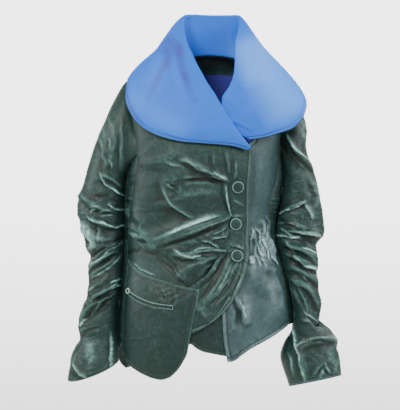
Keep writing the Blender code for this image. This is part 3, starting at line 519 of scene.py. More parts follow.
RIGHT_FRONT_EDGE = np.concatenate([armhole_edge(ARMHOLE_RIGHT[:UNDERARM_ROW]), SIDE_OF_FRONT_RIGHT[1:]])
LEFT_FRONT_EDGE = np.concatenate([armhole_edge(ARMHOLE_LEFT[:UNDERARM_ROW]), SIDE_OF_FRONT_LEFT[1:]])
RIGHT_BACK_EDGE = np.concatenate([armhole_edge(ARMHOLE_RIGHT[:UNDERARM_ROW:-1]), BACK_SIDE_RIGHT[1:]])
LEFT_BACK_EDGE = np.concatenate([armhole_edge(ARMHOLE_LEFT[:UNDERARM_ROW:-1]), BACK_SIDE_LEFT[1:]])

# Edges seen from the front or, for the back's hem, on the back
BAND_SEAM = (
    (98, -178), (99, -215), (96, -250), (64, -268), (57, -300),
    (63, -350), (57, -366), (56, -400), (56, -440),
)
DRAPE_EDGE = (
    (-195, -402), (-158, -428), (-120, -450), (-80, -478), (-55, -508), (-30, -527),
    (-12, -520), (18, -476), (42, -451), (62, -440),
)
CUTAWAY_HEM = ((105, -440), (103, -468), (95, -500), (80, -535), (65, -562), (42, -588), (18, -608))
SKIRT_HEM = ((-206, -664), (-140, -655), (-80, -646), (-38, -636), (-12, -625), (18, -608))
FREE_EDGE_LEFT = (
    (118, -164), (88, -192), (64, -228), (51, -275), (46, -330), (44, -400), (43, -480), (43, -560),
    (44, -610), (47, -655), (55, -706),
)
LEFT_HEM = (
    (55, -706), (66, -705), (88, -691), (112, -675), (138, -662), (162, -650), (188, -635), (209, -622),
)
BACK_HEM = ((204, -612), (140, -640), (60, -672), (-40, -690), (-120, -735), (-200, HEM_LEVEL))


def tube_points(rows, around, down):
    """Rings of a sleeve or cuff, from a table of its outer and inner edges."""
    at = np.linspace(0, len(rows) - 1, down + 1)
    ring = {name: read(rows, RING_COLUMNS, name, at)[:, None] for name in RING_COLUMNS}
    turn = np.linspace(0, 2 * math.pi, around, endpoint=False)[None, :]
    across = np.sign(np.cos(turn)) * np.abs(np.cos(turn)) ** (2 / TUBE_ROUNDNESS)
    deep = np.sign(np.sin(turn)) * np.abs(np.sin(turn)) ** (2 / TUBE_ROUNDNESS)
    x = (ring["out_x"] + ring["in_x"]) / 2 + (ring["out_x"] - ring["in_x"]) / 2 * across
    z = (ring["out_z"] + ring["in_z"]) / 2 + (ring["out_z"] - ring["in_z"]) / 2 * across
    z = z - ring["bow"] * np.abs(deep) + ring["dip"] * deep
    y = ring["mid_y"] - ring["half_depth"] * deep
    return np.stack(np.broadcast_arrays(x, y, z), axis=-1)


def armhole_ring(rows, around):
    """The armhole as a ring of points, from the shoulder tip down the front and up the back."""
    edge = armhole_edge(rows + rows[:1])
    layers = column(rows + rows[:1], ARMHOLE_COLUMNS, "layer")
    points = form(edge[:, 0], edge[:, 1]) + form_normal(edge[:, 0], edge[:, 1]) * layers[:, None]
    half = around // 2
    down = spline(points[:UNDERARM_ROW + 1], np.linspace(0, 1, half + 1))
    up = spline(points[UNDERARM_ROW:], np.linspace(0, 1, around - half + 1))
    ring = np.concatenate([down, up[1:-1]])
    inward = unit((ring.mean(axis=0) - ring) * np.array([0.0, 1.0, 1.0]))
    return ring + inward * SLEEVE_HEAD_GAP


def collar_lines(at):
    """The collar's neck, roll and edge lines, roll radius and bulge, at fractional rows of its table."""
    value = {name: read(COLLAR, COLLAR_COLUMNS, name, at) for name in COLLAR_COLUMNS if name != "behind"}
    turn, level = neck_edge(0, len(COLLAR) - 1).T
    keys = np.arange(len(COLLAR), dtype=float)
    layer = np.where(keys < RIGHT_SHOULDER_ROW, LAYER["front_right"] + settle(level), SHOULDER_LAYER)
    on_neck = form(turn, level) + form_normal(turn, level) * (layer + COLLAR_SEAT)[:, None]
    neck = np.stack([monotone(keys, on_neck[:, k], at) for k in range(3)], axis=-1)
    roll, edge = (
        np.stack([value[f"{line}_{axis}"] for axis in "xyz"], axis=-1) for line in ("roll", "edge")
    )
    return neck, roll, edge, value["radius"][:, None], value["bulge"][:, None]


def collar_points(sections, across):
    """The collar's silk side: up the stand, over the roll and down the fall."""
    neck, roll, edge, radius, bulge = collar_lines(np.linspace(0, len(COLLAR) - 1, sections + 1))
    length = np.linalg.norm(edge - roll, axis=1, keepdims=True)
    fall = (edge - roll) / length
    out = unit(np.cross(np.gradient(roll, axis=0), fall))
    radius = np.minimum(radius, ROLL_SHARE * length)
    centre = roll + fall * radius
    inner, outer = centre - out * radius, centre + out * radius
    stand = np.linspace(0, 1, max(across // 4, 2), endpoint=False)
    rows = [neck * (1 - share) + inner * share for share in stand]
    for angle in np.radians(np.linspace(-90, 90, ROLL_STEPS)):
        rows.append(centre + (out * math.sin(angle) - fall * math.cos(angle)) * radius)
    for share in np.linspace(0, 1, across - len(stand) - ROLL_STEPS + 2)[1:]:
        swell = bulge * math.sin(math.pi * share) ** BULGE_POWER
        rows.append(outer * (1 - share) + edge * share + out * swell)
    return np.array(rows)


POCKET_TOP = (
    (-192, -461), (-180, -475), (-162, -488), (-138, -500), (-112, -509), (-88, -516),
    (-62, -524), (-38, -529), (-15, -532),
)
POCKET_RIGHT = ((-15, -532), (-20, -562), (-28, -592), (-34, -625), (-40, -658), (-46, -688), (-56, -708))
POCKET_LEFT = (
    (-192, -461), (-196, -488), (-201, -538), (-204, -588), (-206, -638), (-207, -675), (-205, -695),
)
POCKET_BOTTOM = (
    (-205, -695), (-188, -720), (-168, -732), (-145, -742), (-125, -748), (-108, -750),
    (-90, -745), (-78, -736), (-66, -723), (-56, -708),
)


POCKET_SWELL = 9.0
SWELL_POWER = 0.8


WELT_DROP = (0.245, 0.285)


BUTTONS = ((80, -281), (75, -372), (78, -450))


# Finer folds that only the looks hold: the same columns as the folds above
FINE_FRONT_RIGHT = (
    (-60, -212, 56, -264, -4, 9, 7, 0.3),
    (-58, -262, 44, -266, 0, 4, -6, 1),
    (44, -262, 66, -350, -4, 5, 5, 0.8),
    (-112, -434, 66, -358, -5, 6, -7, 1),
    (-104, -270, -27, -359, -14, 6, 3, 0.8),
    (-116, -266, -56, -356, -15, 12, -3, 1),
    (-92, -268, -56, -294, 0, 3, -4, 1),
    (10, -398, 54, -376, -3, 4, 1.6, 0.7),
    (-10, -415, 32, -434, 3, 4, 2, 0.7),
    (14, -413, 54, -404, 2, 4, 1.6, 0.7),
    (-40, -402, 20, -424, 4, 7, 1.2, 0.6),
    (-34, -448, 52, -440, 5, 6, 6, 0.6),
    (-76, -442, -10, -458, -10, 5, 6, 0.6),
    (-40, -462, 40, -452, 3, 5, -4, 1),
    (-16, -480, 52, -446, 3, 6, 4, 0.8),
    (-20, -506, 48, -458, 5, 6, 4, 0.7),
    (-150, -232, -40, -204, 5, 16, 3, 0.8),
    (-170, -330, -120, -420, -5, 12, 4, 0.8),
    (-186, -360, -96, -440, -8, 10, 5, 0.7),
    (-188, -384, -70, -482, -10, 7, 5, 0.6),
    (-120, -220, -112, -300, 4, 16, -3, 1),
    (-88, -444, -54, -500, 3, 7, 3, 0.8),
    (18, -196, 30, -256, -2, 7, 3, 0.9),
    (50, -192, 62, -250, -2, 6, 3, 0.9),
)
FINE_SKIRT = (
    (60, -446, -22, -535, 5, 4, -4, 1),
    (40, -448, -30, -528, 3, 6, 4, 0.7),
    (78, -468, 14, -560, 6, 5, 4, 0.7),
    (74, -480, 6, -572, 6, 3, -3, 1),
    (84, -486, 22, -576, 6, 4, 3, 0.8),
    (-150, -560, -150, -640, 0, 14, 2, 1),
)
FINE_FRONT_LEFT = (
    (118, -388, 112, -470, 6, 4, 5, 0.6),
    (130, -380, 152, -462, -6, 4, 5, 0.6),
    (142, -392, 172, -470, 5, 4, 5, 0.6),
    (158, -400, 176, -452, -4, 4, 5, 0.6),
    (116, -412, 140, -480, 6, 4, 4, 0.6),
    (150, -352, 166, -420, 4, 4, 4, 0.7),
    (72, -546, 92, -610, 2, 7, 7, 0.5),
    (60, -640, 80, -560, 0, 8, 3, 0.8),
    (112, -480, 190, -500, 6, 12, 3, 0.8),
    (112, -520, 180, -560, 8, 16, 3, 0.9),
    (140, -180, 128, -340, 2, 14, 2, 1),
    (160, -470, 196, -600, 4, 10, 5, 0.7),
)
FINE_BACK = (
    (-150, -300, -60, -330, 6, 9, 5, 0.6),
    (-120, -352, 20, -360, -5, 7, 5, 0.6),
    (0, -330, 120, -318, 5, 8, 5, 0.6),
    (30, -358, 160, -372, 6, 7, 5, 0.6),
    (-160, -380, -70, -366, 5, 6, 4, 0.7),
    (-60, -414, 90, -420, 6, 9, 4, 0.7),
    (-100, -150, -60, -290, 6, 18, 4, 0.9),
    (70, -140, 60, -300, -6, 18, 4, 0.9),
    (-40, -520, -60, -676, 6, 20, 6, 0.9),
    (80, -520, 96, -640, 6, 18, 6, 0.9),
    (-170, -500, -184, -700, 4, 14, 5, 0.8),
)
FINE_SLEEVE_RIGHT = (
    (-262, -246, -178, -314, 8, 5, 7, 0.5),
    (-250, -318, -196, -336, 5, 5, 5, 0.6),
    (-296, -352, -190, -372, -16, 5, 7, 0.5),
    (-284, -334, -206, -352, 4, 5, 5, 0.6),
    (-312, -366, -288, -424, 5, 7, 4, 0.8),
    (-282, -466, -192, -410, 8, 6, 6, 0.6),
    (-292, -494, -212, -440, 9, 6, 7, 0.5),
    (-284, -452, -240, -426, 4, 5, 4, 0.6),
    (-234, -528, -208, -512, 1, 4, 6, 0.6),
    (-282, -572, -208, -520, 9, 6, 7, 0.5),
    (-270, -586, -206, -538, 8, 5, 6, 0.5),
    (-304, -610, -238, -556, 9, 6, 6, 0.6),
    (-262, -150, -250, -240, 5, 8, 4, 0.8),
    (-212, -110, -206, -250, 3, 8, 4, 0.8),
    (-240, -90, -228, -220, 4, 12, 3, 0.9),
)
FINE_SLEEVE_LEFT = (
    (202, -146, 272, -240, -8, 5, 8, 0.5),
    (184, -348, 256, -318, 3, 5, 6, 0.5),
    (196, -378, 286, -402, -3, 5, 6, 0.6),
    (198, -396, 262, -400, 6, 5, 7, 0.5),
    (178, -412, 278, -474, 8, 6, 7, 0.5),
    (190, -442, 262, -496, 6, 5, 6, 0.5),
    (248, -484, 282, -490, 2, 5, 6, 0.6),
    (188, -480, 256, -600, 10, 6, 6, 0.6),
    (232, -520, 286, -594, 8, 6, 6, 0.6),
    (244, -98, 250, -170, 4, 7, 5, 0.8),
    (196, -300, 192, -380, 3, 6, 4, 0.7),
    (262, -250, 280, -340, 5, 8, 4, 0.8),
)
FINE_CUFF_RIGHT = (
    (-326, -714, -282, -752, -8, 4, 5, 0.6),
    (-282, -752, -240, -768, 6, 4, 4, 0.6),
    (-316, -640, -226, -600, 8, 8, 5, 0.7),
)
FINE_CUFF_LEFT = (
    (218, -608, 222, -690, -3, 5, 6, 0.6),
    (222, -690, 244, -766, 3, 5, 5, 0.6),
    (220, -682, 250, -655, 3, 4, 5, 0.6),
    (250, -655, 332, -665, 6, 4, 4, 0.6),
    (262, -744, 292, -712, 0, 4, 5, 0.6),
    (292, -712, 308, -742, 0, 4, 5, 0.6),
    (214, -560, 238, -610, 4, 7, 5, 0.7),
)
COLLAR_FOLDS = (
    (-96, 96, -156, -84, -6, 11, 3, 0.9),
    (-78, 76, -38, -80, -6, 11, 3, 0.9),
    (56, -116, 120, -146, 3, 5, 1.6, 1),
    (100, 84, 150, -90, 0, 26, 3, 1),
    (92, -20, 96, -100, 0, 16, -2.5, 1),
    (-186, -50, -140, -62, 2, 3, 0.9, 1),
    (-170, -98, -80, -96, 2, 3, 0.8, 1),
    (60, -10, 130, -36, 2, 3, 0.8, 1),
    (110, -60, 196, -66, 2, 3, 0.7, 1),
)
# Painted violet shade along the collar's folds, standing for the shot silk's colour change there, on the
# same columns
PAINTED_VIOLET_SHADE = (
    (-84, 100, -98, 10, 3, 20, 0.7, 1),
    (-95, 30, -143, -84, -5, 11, 0.62, 1),
    (-110, 90, -122, 40, 0, 16, 0.4, 1),
    (-64, 80, -50, -16, -3, 12, 0.6, 1),
    (-52, 0, -20, -80, -3, 12, 0.5, 1),
    (-196, -40, -150, -130, -8, 10, 0.35, 1),
    (176, 20, 208, -80, 0, 16, 0.22, 1),
    (-60, 150, 60, 146, 0, 6, 0.35, 1),
)

# Painted light, where the pile catches it, on the folds' columns: height is how bright, and below nought it
# is painted shade
GLINTS_FRONT_RIGHT = (
    (-98, -402, 34, -349, 4, 6, 0.5, 0.5),
    (-84, -394, 30, -350, 3, 3, 1.4, 0.8),
    (-60, -403, 62, -353, 0, 1.8, 0.4, 0.8),
    (-114, -431, 62, -359, -2, 2.4, -1, 1),
    (-72, -439, -34, -459, -3, 2.4, 1.3, 0.8),
    (-37, -459, -6, -449, -2, 2.4, 1.2, 0.8),
    (-38, -447, 20, -433, 5, 2.2, 0.7, 0.8),
    (-28, -446, 52, -441, 3, 2.2, 0.4, 0.8),
    (-20, -453, 54, -447, 3, 2.2, -0.7, 1),
    (-8, -415, 32, -434, 3, 2.2, 0.55, 0.8),
    (14, -413, 54, -404, 2, 2.4, 0.4, 0.8),
    (18, -399, 54, -376, -3, 2.4, 0.35, 0.8),
    (14, -246, 54, -264, 2, 3, 0.75, 0.7),
    (-52, -265, 47, -268, 8, 3.6, -2.6, 1),
    (-92, -270, -58, -286, 2, 3.4, -1, 1),
    (47, -268, 62, -354, -2, 2.2, 0.7, 0.8),
    (57, -272, 67, -352, -2, 2.4, -0.8, 1),
    (-104, -270, -27, -359, -14, 2.4, 0.22, 0.8),
    (-118, -270, -50, -368, -16, 9, -0.32, 1),
    (-95, -222, -50, -234, 0, 4, 0.25, 0.8),
    (-60, -214, 12, -245, 2, 6, 0.25, 0.8),
    (62, -212, 61, -258, 0, 3.5, -0.5, 1),
    (74, -214, 70, -258, 0, 3, 0.22, 0.9),
    (-190, -394, -130, -412, 4, 8, 0.35, 0.8),
    (-160, -420, -110, -440, 3, 8, 0.22, 0.8),
    (-66, -300, 30, -292, 4, 10, 0.14, 1),
    (-176, -120, -182, -300, 4, 13, -0.45, 1),
)
GLINTS_BAND = (
    (66, -310, 92, -326, 0, 3, 0.22, 0.8),
    (60, -352, 92, -352, 0, 3, 0.2, 0.8),
    (60, -424, 92, -434, 0, 3, 0.25, 0.8),
    (90, -200, 84, -250, 0, 3, 0.2, 0.8),
)
GLINTS_SKIRT = (
    (37, -458, -13, -530, 3, 2.6, 0.55, 0.8),
    (50, -464, 0, -548, 4, 3.4, -0.9, 1),
    (64, -472, 14, -552, 4, 2.6, 0.45, 0.8),
    (80, -484, 36, -566, 5, 3, -0.5, 1),
    (90, -490, 50, -566, 5, 2.6, 0.3, 0.8),
    (-110, -464, -52, -520, 2, 2.4, 0.45, 0.8),
    (-178, -468, -118, -500, -4, 2.6, 0.35, 0.8),
    # Painted shadow on the skirt along the drape's lower edge
    (-192, -446, -148, -440, 3, 6, -0.8, 1),
    (-150, -442, -110, -456, 4, 6, -0.8, 1),
    (-114, -458, -64, -502, 4, 6, -0.9, 1),
    (-66, -502, -36, -530, 2, 6, -0.9, 1),
    (-14, -530, 22, -482, 0, 5, -0.8, 1),
    (22, -482, 52, -446, 0, 5, -0.7, 1),
    (-34, -560, 6, -600, 0, 8, 0.14, 0.9),
)
GLINTS_FRONT_LEFT = (
    (114, -382, 110, -412, 2, 2.4, 0.8, 0.8),
    (121, -382, 132, -403, 3, 2.4, 0.9, 0.8),
    (132, -401, 128, -426, 3, 2.4, 0.9, 0.8),
    (128, -424, 141, -453, -3, 2.4, 0.9, 0.8),
    (141, -406, 150, -436, -2, 2.4, 1, 0.8),
    (150, -434, 154, -462, 2, 2.6, 0.9, 0.8),
    (160, -428, 167, -460, -2, 2.6, 1.1, 0.8),
    (167, -458, 179, -479, 2, 2.4, 1.1, 0.8),
    (106, -452, 120, -470, 0, 6, 1, 0.9),
    (120, -446, 132, -478, 2, 3, 0.8, 0.8),
    (134, -456, 146, -482, 2, 2.8, 0.6, 0.8),
    (152, -372, 147, -402, 2, 2.6, 0.5, 0.8),
    (138, -362, 142, -398, 2, 3, 0.35, 0.8),
    (140, -385, 148, -474, 0, 26, 0.4, 1),
    (118, -455, 108, -516, 0, 12, 0.16, 1),
    (81, -556, 94, -608, 3, 2.8, 0.9, 0.8),
    (88, -540, 104, -606, 3, 9, 0.22, 1),
    (104, -486, 80, -548, 3, 8, -0.5, 1),
    (150, -500, 176, -600, 3, 14, 0.16, 1),
    (60, -690, 190, -628, -3, 8, 0.12, 1),
    (120, -184, 112, -340, 2, 6, -0.3, 1),
    (182, -160, 170, -300, 3, 6, -0.35, 1),
)
BAND_FOLDS = (
    (62, -206, 66, -256, 0, 5, 2, 0.8),
    (84, -200, 82, -260, 0, 5, 1.8, 0.8),
    (58, -420, 96, -440, 2, 5, 2, 0.7),
)
PATCHES_BAND = (
    (80, -230, 50, 60, 1.3, 10, 26, 0),
    (80, -330, 50, 60, 1.5, 12, 14, 0.3),
    (80, -430, 50, 50, 1.8, 9, 12, 0.3),
)
POCKET_FOLDS = (
    (-134, -522, -129, -545, 2, 4, 0.6, 0.8),
    (-104, -528, -92, -562, 3, 5, 0.9, 0.8),
    (-70, -534, -71, -572, 2, 5, 0.8, 0.8),
    (-130, -600, -110, -780, 3, 26, 1.6, 1),
)
# The underlap is painted darker, as shade
GLINTS_UNDERLAP = (
    (0, -560, 4, -700, 0, 120, -0.34, 1),
)
GLINTS_BACK = (
    (-120, -330, -30, -350, 6, 8, 0.5, 0.6),
    (-90, -372, 30, -366, -6, 6, 0.5, 0.6),
    (20, -344, 130, -330, 6, 7, 0.45, 0.6),
    (60, -380, 168, -366, 5, 6, 0.45, 0.6),
    (-30, -420, 60, -440, 4, 12, 0.3, 0.8),
    (-150, -240, -110, -320, 5, 9, 0.3, 0.8),
    (150, -230, 140, -300, 5, 8, 0.3, 0.8),
    (-60, -520, -70, -660, 5, 12, 0.25, 0.8),
    (90, -520, 100, -630, 5, 12, 0.25, 0.8),
)
GLINTS_SIDE = (
    (-186, -330, -170, -420, 4, 10, 0.4, 0.8),
    (176, -330, 176, -420, 4, 10, 0.4, 0.8),
)
GLINTS_SLEEVE_RIGHT = (
    (-262, -246, -234, -286, -5, 2.2, 0.8, 0.8),
    (-238, -280, -178, -314, -3, 2.2, 1.3, 0.8),
    (-240, -160, -237, -180, 0, 2.4, 0.4, 0.8),
    (-241, -212, -232, -234, 2, 2.4, 0.4, 0.8),
    (-234, -196, -240, -228, 0, 5, 0.14, 0.9),
    (-212, -170, -214, -236, 2, 3, 0.18, 0.8),
    (-252, -120, -250, -170, 0, 10, 0.12, 1),
    (-290, -308, -240, -303, 3, 7, -0.8, 1),
    (-242, -304, -216, -326, 2, 4, -0.8, 1),
    (-246, -324, -226, -336, 2, 2.4, 0.8, 0.8),
    (-228, -337, -190, -342, 2, 2.4, 1.1, 0.8),
    (-286, -344, -270, -336, 2, 2.4, 0.7, 0.8),
    (-288, -332, -262, -330, 2, 2.4, 0.5, 0.8),
    (-264, -346, -240, -340, 3, 2.4, 0.6, 0.8),
    (-262, -356, -226, -352, 3, 2.4, 0.55, 0.8),
    (-288, -358, -268, -368, 0, 2.8, 0.9, 0.8),
    (-270, -367, -228, -382, 2, 3, 1.3, 0.8),
    (-230, -382, -188, -366, -3, 2.6, 1.2, 0.8),
    (-252, -366, -214, -372, 0, 5, -0.5, 1),
    (-316, -364, -282, -434, 2, 11, 0.8, 0.9),
    (-306, -372, -296, -404, 2, 3, 0.6, 0.8),
    (-294, -380, -284, -426, 2, 3, 0.5, 0.8),
    (-266, -376, -268, -414, 2, 4, 0.3, 0.8),
    (-200, -396, -248, -420, 3, 5, -1, 1),
    (-246, -418, -290, -460, 3, 5, -0.9, 1),
    (-204, -408, -240, -436, 4, 2.6, 0.5, 0.8),
    (-240, -434, -290, -484, 4, 2.6, 0.7, 0.8),
    (-214, -430, -262, -478, 5, 4, -0.7, 1),
    (-206, -444, -286, -508, 6, 2.6, 0.55, 0.8),
    (-204, -470, -280, -528, 6, 5, -0.7, 1),
    (-236, -520, -208, -512, 3, 2.6, 1.2, 0.8),
    (-232, -536, -206, -526, 3, 2.6, 1.1, 0.8),
    (-214, -508, -262, -548, 3, 2.6, 0.45, 0.8),
    (-216, -556, -216, -640, 4, 3, 0.7, 0.8),
    (-220, -644, -234, -728, 4, 3, 0.6, 0.8),
    (-320, -642, -284, -602, 5, 3, 0.8, 0.8),
    (-286, -606, -250, -566, 4, 3, 0.6, 0.8),
    (-300, -620, -214, -540, 8, 6, -0.6, 1),
    (-300, -560, -262, -522, 5, 4, 0.3, 0.8),
)
GLINTS_SLEEVE_LEFT = (
    (203, -146, 254, -216, -6, 2.4, 1.1, 0.8),
    (252, -212, 286, -252, 2, 2.2, 1.1, 0.8),
    (192, -150, 236, -226, -8, 8, -0.35, 1),
    (188, -160, 190, -350, 2, 7, -0.6, 1),
    (182, -352, 218, -334, 2, 2.2, 0.8, 0.8),
    (216, -335, 249, -317, -2, 2.2, 1.1, 0.8),
    (186, -340, 244, -308, 3, 6, -0.5, 1),
    (247, -320, 268, -362, 3, 5, 0.55, 0.8),
    (184, -354, 226, -384, -2, 4.5, -1.1, 1),
    (226, -384, 244, -385, 0, 4, -0.9, 1),
    (184, -372, 226, -376, 4, 2.2, 0.8, 0.8),
    (226, -376, 247, -389, 0, 2.2, 0.8, 0.8),
    (188, -384, 218, -408, 2, 2.2, 0.6, 0.8),
    (217, -390, 290, -402, -2, 2.8, 1.3, 0.8),
    (216, -408, 242, -402, 0, 2.2, 0.8, 0.8),
    (168, -402, 210, -406, 2, 2.2, 0.8, 0.8),
    (208, -406, 240, -409, 0, 2.2, 0.8, 0.8),
    (226, -420, 300, -408, 3, 6, -0.6, 1),
    (238, -432, 280, -452, 3, 2.6, 0.9, 0.8),
    (196, -412, 226, -456, 3, 2.4, 0.5, 0.8),
    (192, -420, 224, -470, 4, 5, -1, 1),
    (224, -470, 254, -492, 3, 5, -1, 1),
    (252, -490, 278, -518, 3, 4, -0.8, 1),
    (240, -476, 288, -492, 2, 3.2, 1.3, 0.8),
    (214, -446, 240, -474, 3, 2.4, 0.6, 0.8),
    (250, -506, 276, -560, 4, 4, -0.7, 1),
    (240, -500, 268, -540, 4, 2.6, 0.5, 0.8),
    (278, -536, 288, -594, 3, 3.2, 0.7, 0.8),
    (184, -494, 226, -578, 2, 2.2, 0.7, 0.8),
    (226, -578, 284, -618, 0, 2.2, 0.7, 0.8),
    (236, -104, 246, -170, 4, 6, 0.2, 0.8),
    (268, -262, 284, -330, 3, 6, 0.2, 0.8),
    (300, -360, 304, -398, 3, 7, 0.4, 0.8),
)
GLINTS_CUFF = (
    (-326, -714, -282, -754, -8, 2.4, 0.7, 0.8),
    (-236, -640, -238, -740, 4, 4, 0.8, 0.8),
    (-230, -660, -246, -724, 4, 2.6, 0.6, 0.8),
    (-300, -660, -280, -720, 4, 14, 0.25, 1),
    (222, -590, 216, -628, -3, 3, 1.1, 0.8),
    (216, -626, 221, -672, 3, 3, 1.1, 0.8),
    (219, -664, 232, -714, 3, 3, 0.9, 0.8),
    (231, -712, 246, -764, 3, 2.6, 0.7, 0.8),
    (206, -690, 215, -744, 2, 2.6, 0.7, 0.8),
    (218, -685, 252, -660, 5, 2.4, 0.6, 0.8),
    (250, -660, 312, -655, 6, 2.4, 0.5, 0.8),
    (226, -690, 300, -672, 8, 7, -0.35, 1),
    (282, -752, 296, -722, 0, 2.4, 0.6, 0.8),
    (296, -722, 308, -738, 0, 2.4, 0.5, 0.8),
    (240, -606, 286, -618, 3, 5, 0.35, 0.8),
    (300, -680, 326, -740, 3, 10, 0.18, 1),
)
GLINTS_POCKET = (
    (-134, -522, -129, -545, 2, 1.8, 0.14, 0.8),
    (-104, -528, -92, -562, 3, 2.2, 0.18, 0.8),
    (-88, -530, -83, -553, -2, 1.8, 0.16, 0.8),
    (-70, -534, -71, -572, 2, 2.2, 0.15, 0.8),
    # The pocket is painted darker all over, as shade
    (-110, -500, -105, -790, 0, 130, -0.26, 1),
    (-70, -545, -66, -640, 2, 14, 0.08, 1),
    (-186, -600, -150, -720, 8, 18, 0.1, 1),
)

# Painted light on the silk: the lobe at the wearer's left and the left lobe's lower edge are painted
# lighter, and rows below nought take painted light away
GLINTS_COLLAR = (
    (110, 100, 214, -120, 0, 70, 0.95, 1),
    (96, 90, 120, -30, 0, 40, 0.35, 1),
    (-190, -40, -40, -150, -14, 30, 0.3, 1),
    (-100, 40, -150, -30, 0, 24, 0.18, 1),
    (64, -118, 122, -146, 0, 12, -0.45, 1),
    (40, 60, 30, -60, 0, 12, -0.25, 1),
)

# Crushed patches of the pile: centre, reach, height and the size of the crinkles
PATCH_COLUMNS = ("x", "z", "reach_x", "reach_z", "height", "grain_x", "grain_z", "slant")
PATCHES_FRONT_RIGHT = (
    (-60, -330, 150, 200, 1.6, 34, 22, 0.25),
    (10, -415, 62, 46, 3.4, 18, 13, 0.5),
    (-60, -452, 60, 26, 3, 20, 12, -0.2),
    (-72, -276, 30, 20, 2.4, 14, 9, 0.3),
    (-120, -180, 80, 70, 1.2, 26, 34, 0),
)
PATCHES_SKIRT = (
    (-60, -560, 200, 160, 1.1, 20, 30, 0),
    (60, -500, 60, 60, 1.6, 9, 22, 0.6),
)
PATCHES_FRONT_LEFT = (
    (142, -412, 48, 62, 3.6, 11, 26, 0.2),
    (110, -420, 40, 70, 1.8, 12, 30, -0.2),
    (130, -560, 90, 100, 0.9, 30, 60, 0.2),
    (120, -240, 80, 120, 0.8, 16, 50, 0),
)
PATCHES_BACK = (
    (0, -360, 190, 90, 2.6, 44, 15, 0.1),
    (0, -200, 200, 160, 1.2, 34, 44, 0),
    (0, -580, 220, 150, 1.4, 28, 52, 0),
)
PATCHES_SIDE = (
    (0, -340, 400, 120, 3, 30, 13, 0.1),
    (0, -560, 400, 150, 1.4, 24, 40, 0),
)
PATCHES_SLEEVE_RIGHT = (
    (-240, -345, 80, 60, 4.2, 24, 11, 0.2),
    (-240, -345, 80, 60, 1.6, 9, 7, -0.3),
    (-300, -395, 40, 50, 2.2, 9, 14, 0),
    (-245, -460, 80, 60, 3.4, 28, 12, 0.5),
    (-255, -560, 80, 60, 3.4, 28, 13, 0.5),
    (-216, -640, 22, 90, 3, 12, 15, 0.1),
    (-250, -640, 80, 60, 1.6, 20, 18, 0.3),
    (-240, -170, 80, 120, 1.5, 18, 40, 0.2),
)
PATCHES_SLEEVE_LEFT = (
    (240, -400, 80, 60, 4.2, 26, 11, -0.3),
    (230, -400, 60, 60, 1.8, 9, 7, 0.2),
    (240, -300, 80, 60, 2.4, 28, 15, 0.3),
    (250, -490, 80, 60, 3.2, 24, 12, -0.5),
    (250, -580, 80, 50, 2.8, 20, 14, -0.6),
    (240, -170, 80, 120, 1.5, 18, 40, -0.2),
)
PATCHES_CUFF = (
    (-270, -690, 120, 80, 2.8, 22, 16, 0.3),
    (270, -680, 120, 110, 2.8, 22, 18, -0.3),
)
PATCHES_POCKET = (
    (-110, -610, 140, 150, 1.1, 30, 24, 0.2),
    (-86, -545, 34, 36, 2.6, 11, 13, 0.5),
)
PATCHES_COLLAR = (
    (0, 0, 400, 300, 1.6, 46, 60, 0),
    (0, -50, 300, 200, 0.8, 34, 13, 0.3),
    (0, -50, 300, 200, 0.5, 11, 20, -0.6),
)
PATCHES_UNDERLAP = (
    (0, -620, 200, 120, 1.4, 22, 30, 0.1),
)


def lattice(column, row, seed):
    """A steady pseudo-random value from 0 to 1 for each corner of a square net."""
    wave = np.sin(column * 127.1 + row * 311.7 + seed * 74.7) * 43758.5453
    return wave - np.floor(wave)


def noise(x, z, seed=0):
    """Smooth noise from 0 to 1."""
    column, row = np.floor(x), np.floor(z)
    u, v = x - column, z - row
    u, v = u * u * (3 - 2 * u), v * v * (3 - 2 * v)
    top = lattice(column, row, seed) * (1 - u) + lattice(column + 1, row, seed) * u
    bottom = lattice(column, row + 1, seed) * (1 - u) + lattice(column + 1, row + 1, seed) * u
    return top * (1 - v) + bottom * v


# Crinkles: their drift's reach and scale, and the share and sharpness of the large and small ones
DRIFT_REACH = 1.5
DRIFT_SCALE = 0.6
LARGE_SHARE, LARGE_POWER = 0.7, 1.7
SMALL_SHARE, SMALL_POWER = 0.3, 1.5
SMALL_SCALE = 2.3
CRINKLE_MEAN = 0.35


def crinkle(x, z, seed=0):
    """Crests like those of crushed cloth, from 0 to 1, at two scales."""
    drift_x = noise(x * DRIFT_SCALE, z * DRIFT_SCALE, seed + 5) - 0.5
    drift_z = noise(x * DRIFT_SCALE + 9, z * DRIFT_SCALE, seed + 7) - 0.5
    x, z = x + DRIFT_REACH * drift_x, z + DRIFT_REACH * drift_z
    large = 1 - np.abs(2 * noise(x, z, seed) - 1)
    small = 1 - np.abs(2 * noise(SMALL_SCALE * x + 4, SMALL_SCALE * z, seed + 3) - 1)
    return LARGE_SHARE * large**LARGE_POWER + SMALL_SHARE * small**SMALL_POWER


# Creases: their dip, how far they wander, how they fade past their ends and how sharp their crest is
CREASE_DIP = 0.55
CREASE_WANDER = 1.0
WANDER_WAVES = 5.0
WANDER_SPREAD = 0.37
WANDER_SEED = 11
CREASE_OVERRUN = 0.1
CREASE_FADE = 0.4
CREST_POWER = 1.4
DIP_PLACE = 1.3
DIP_WIDTH = 0.8


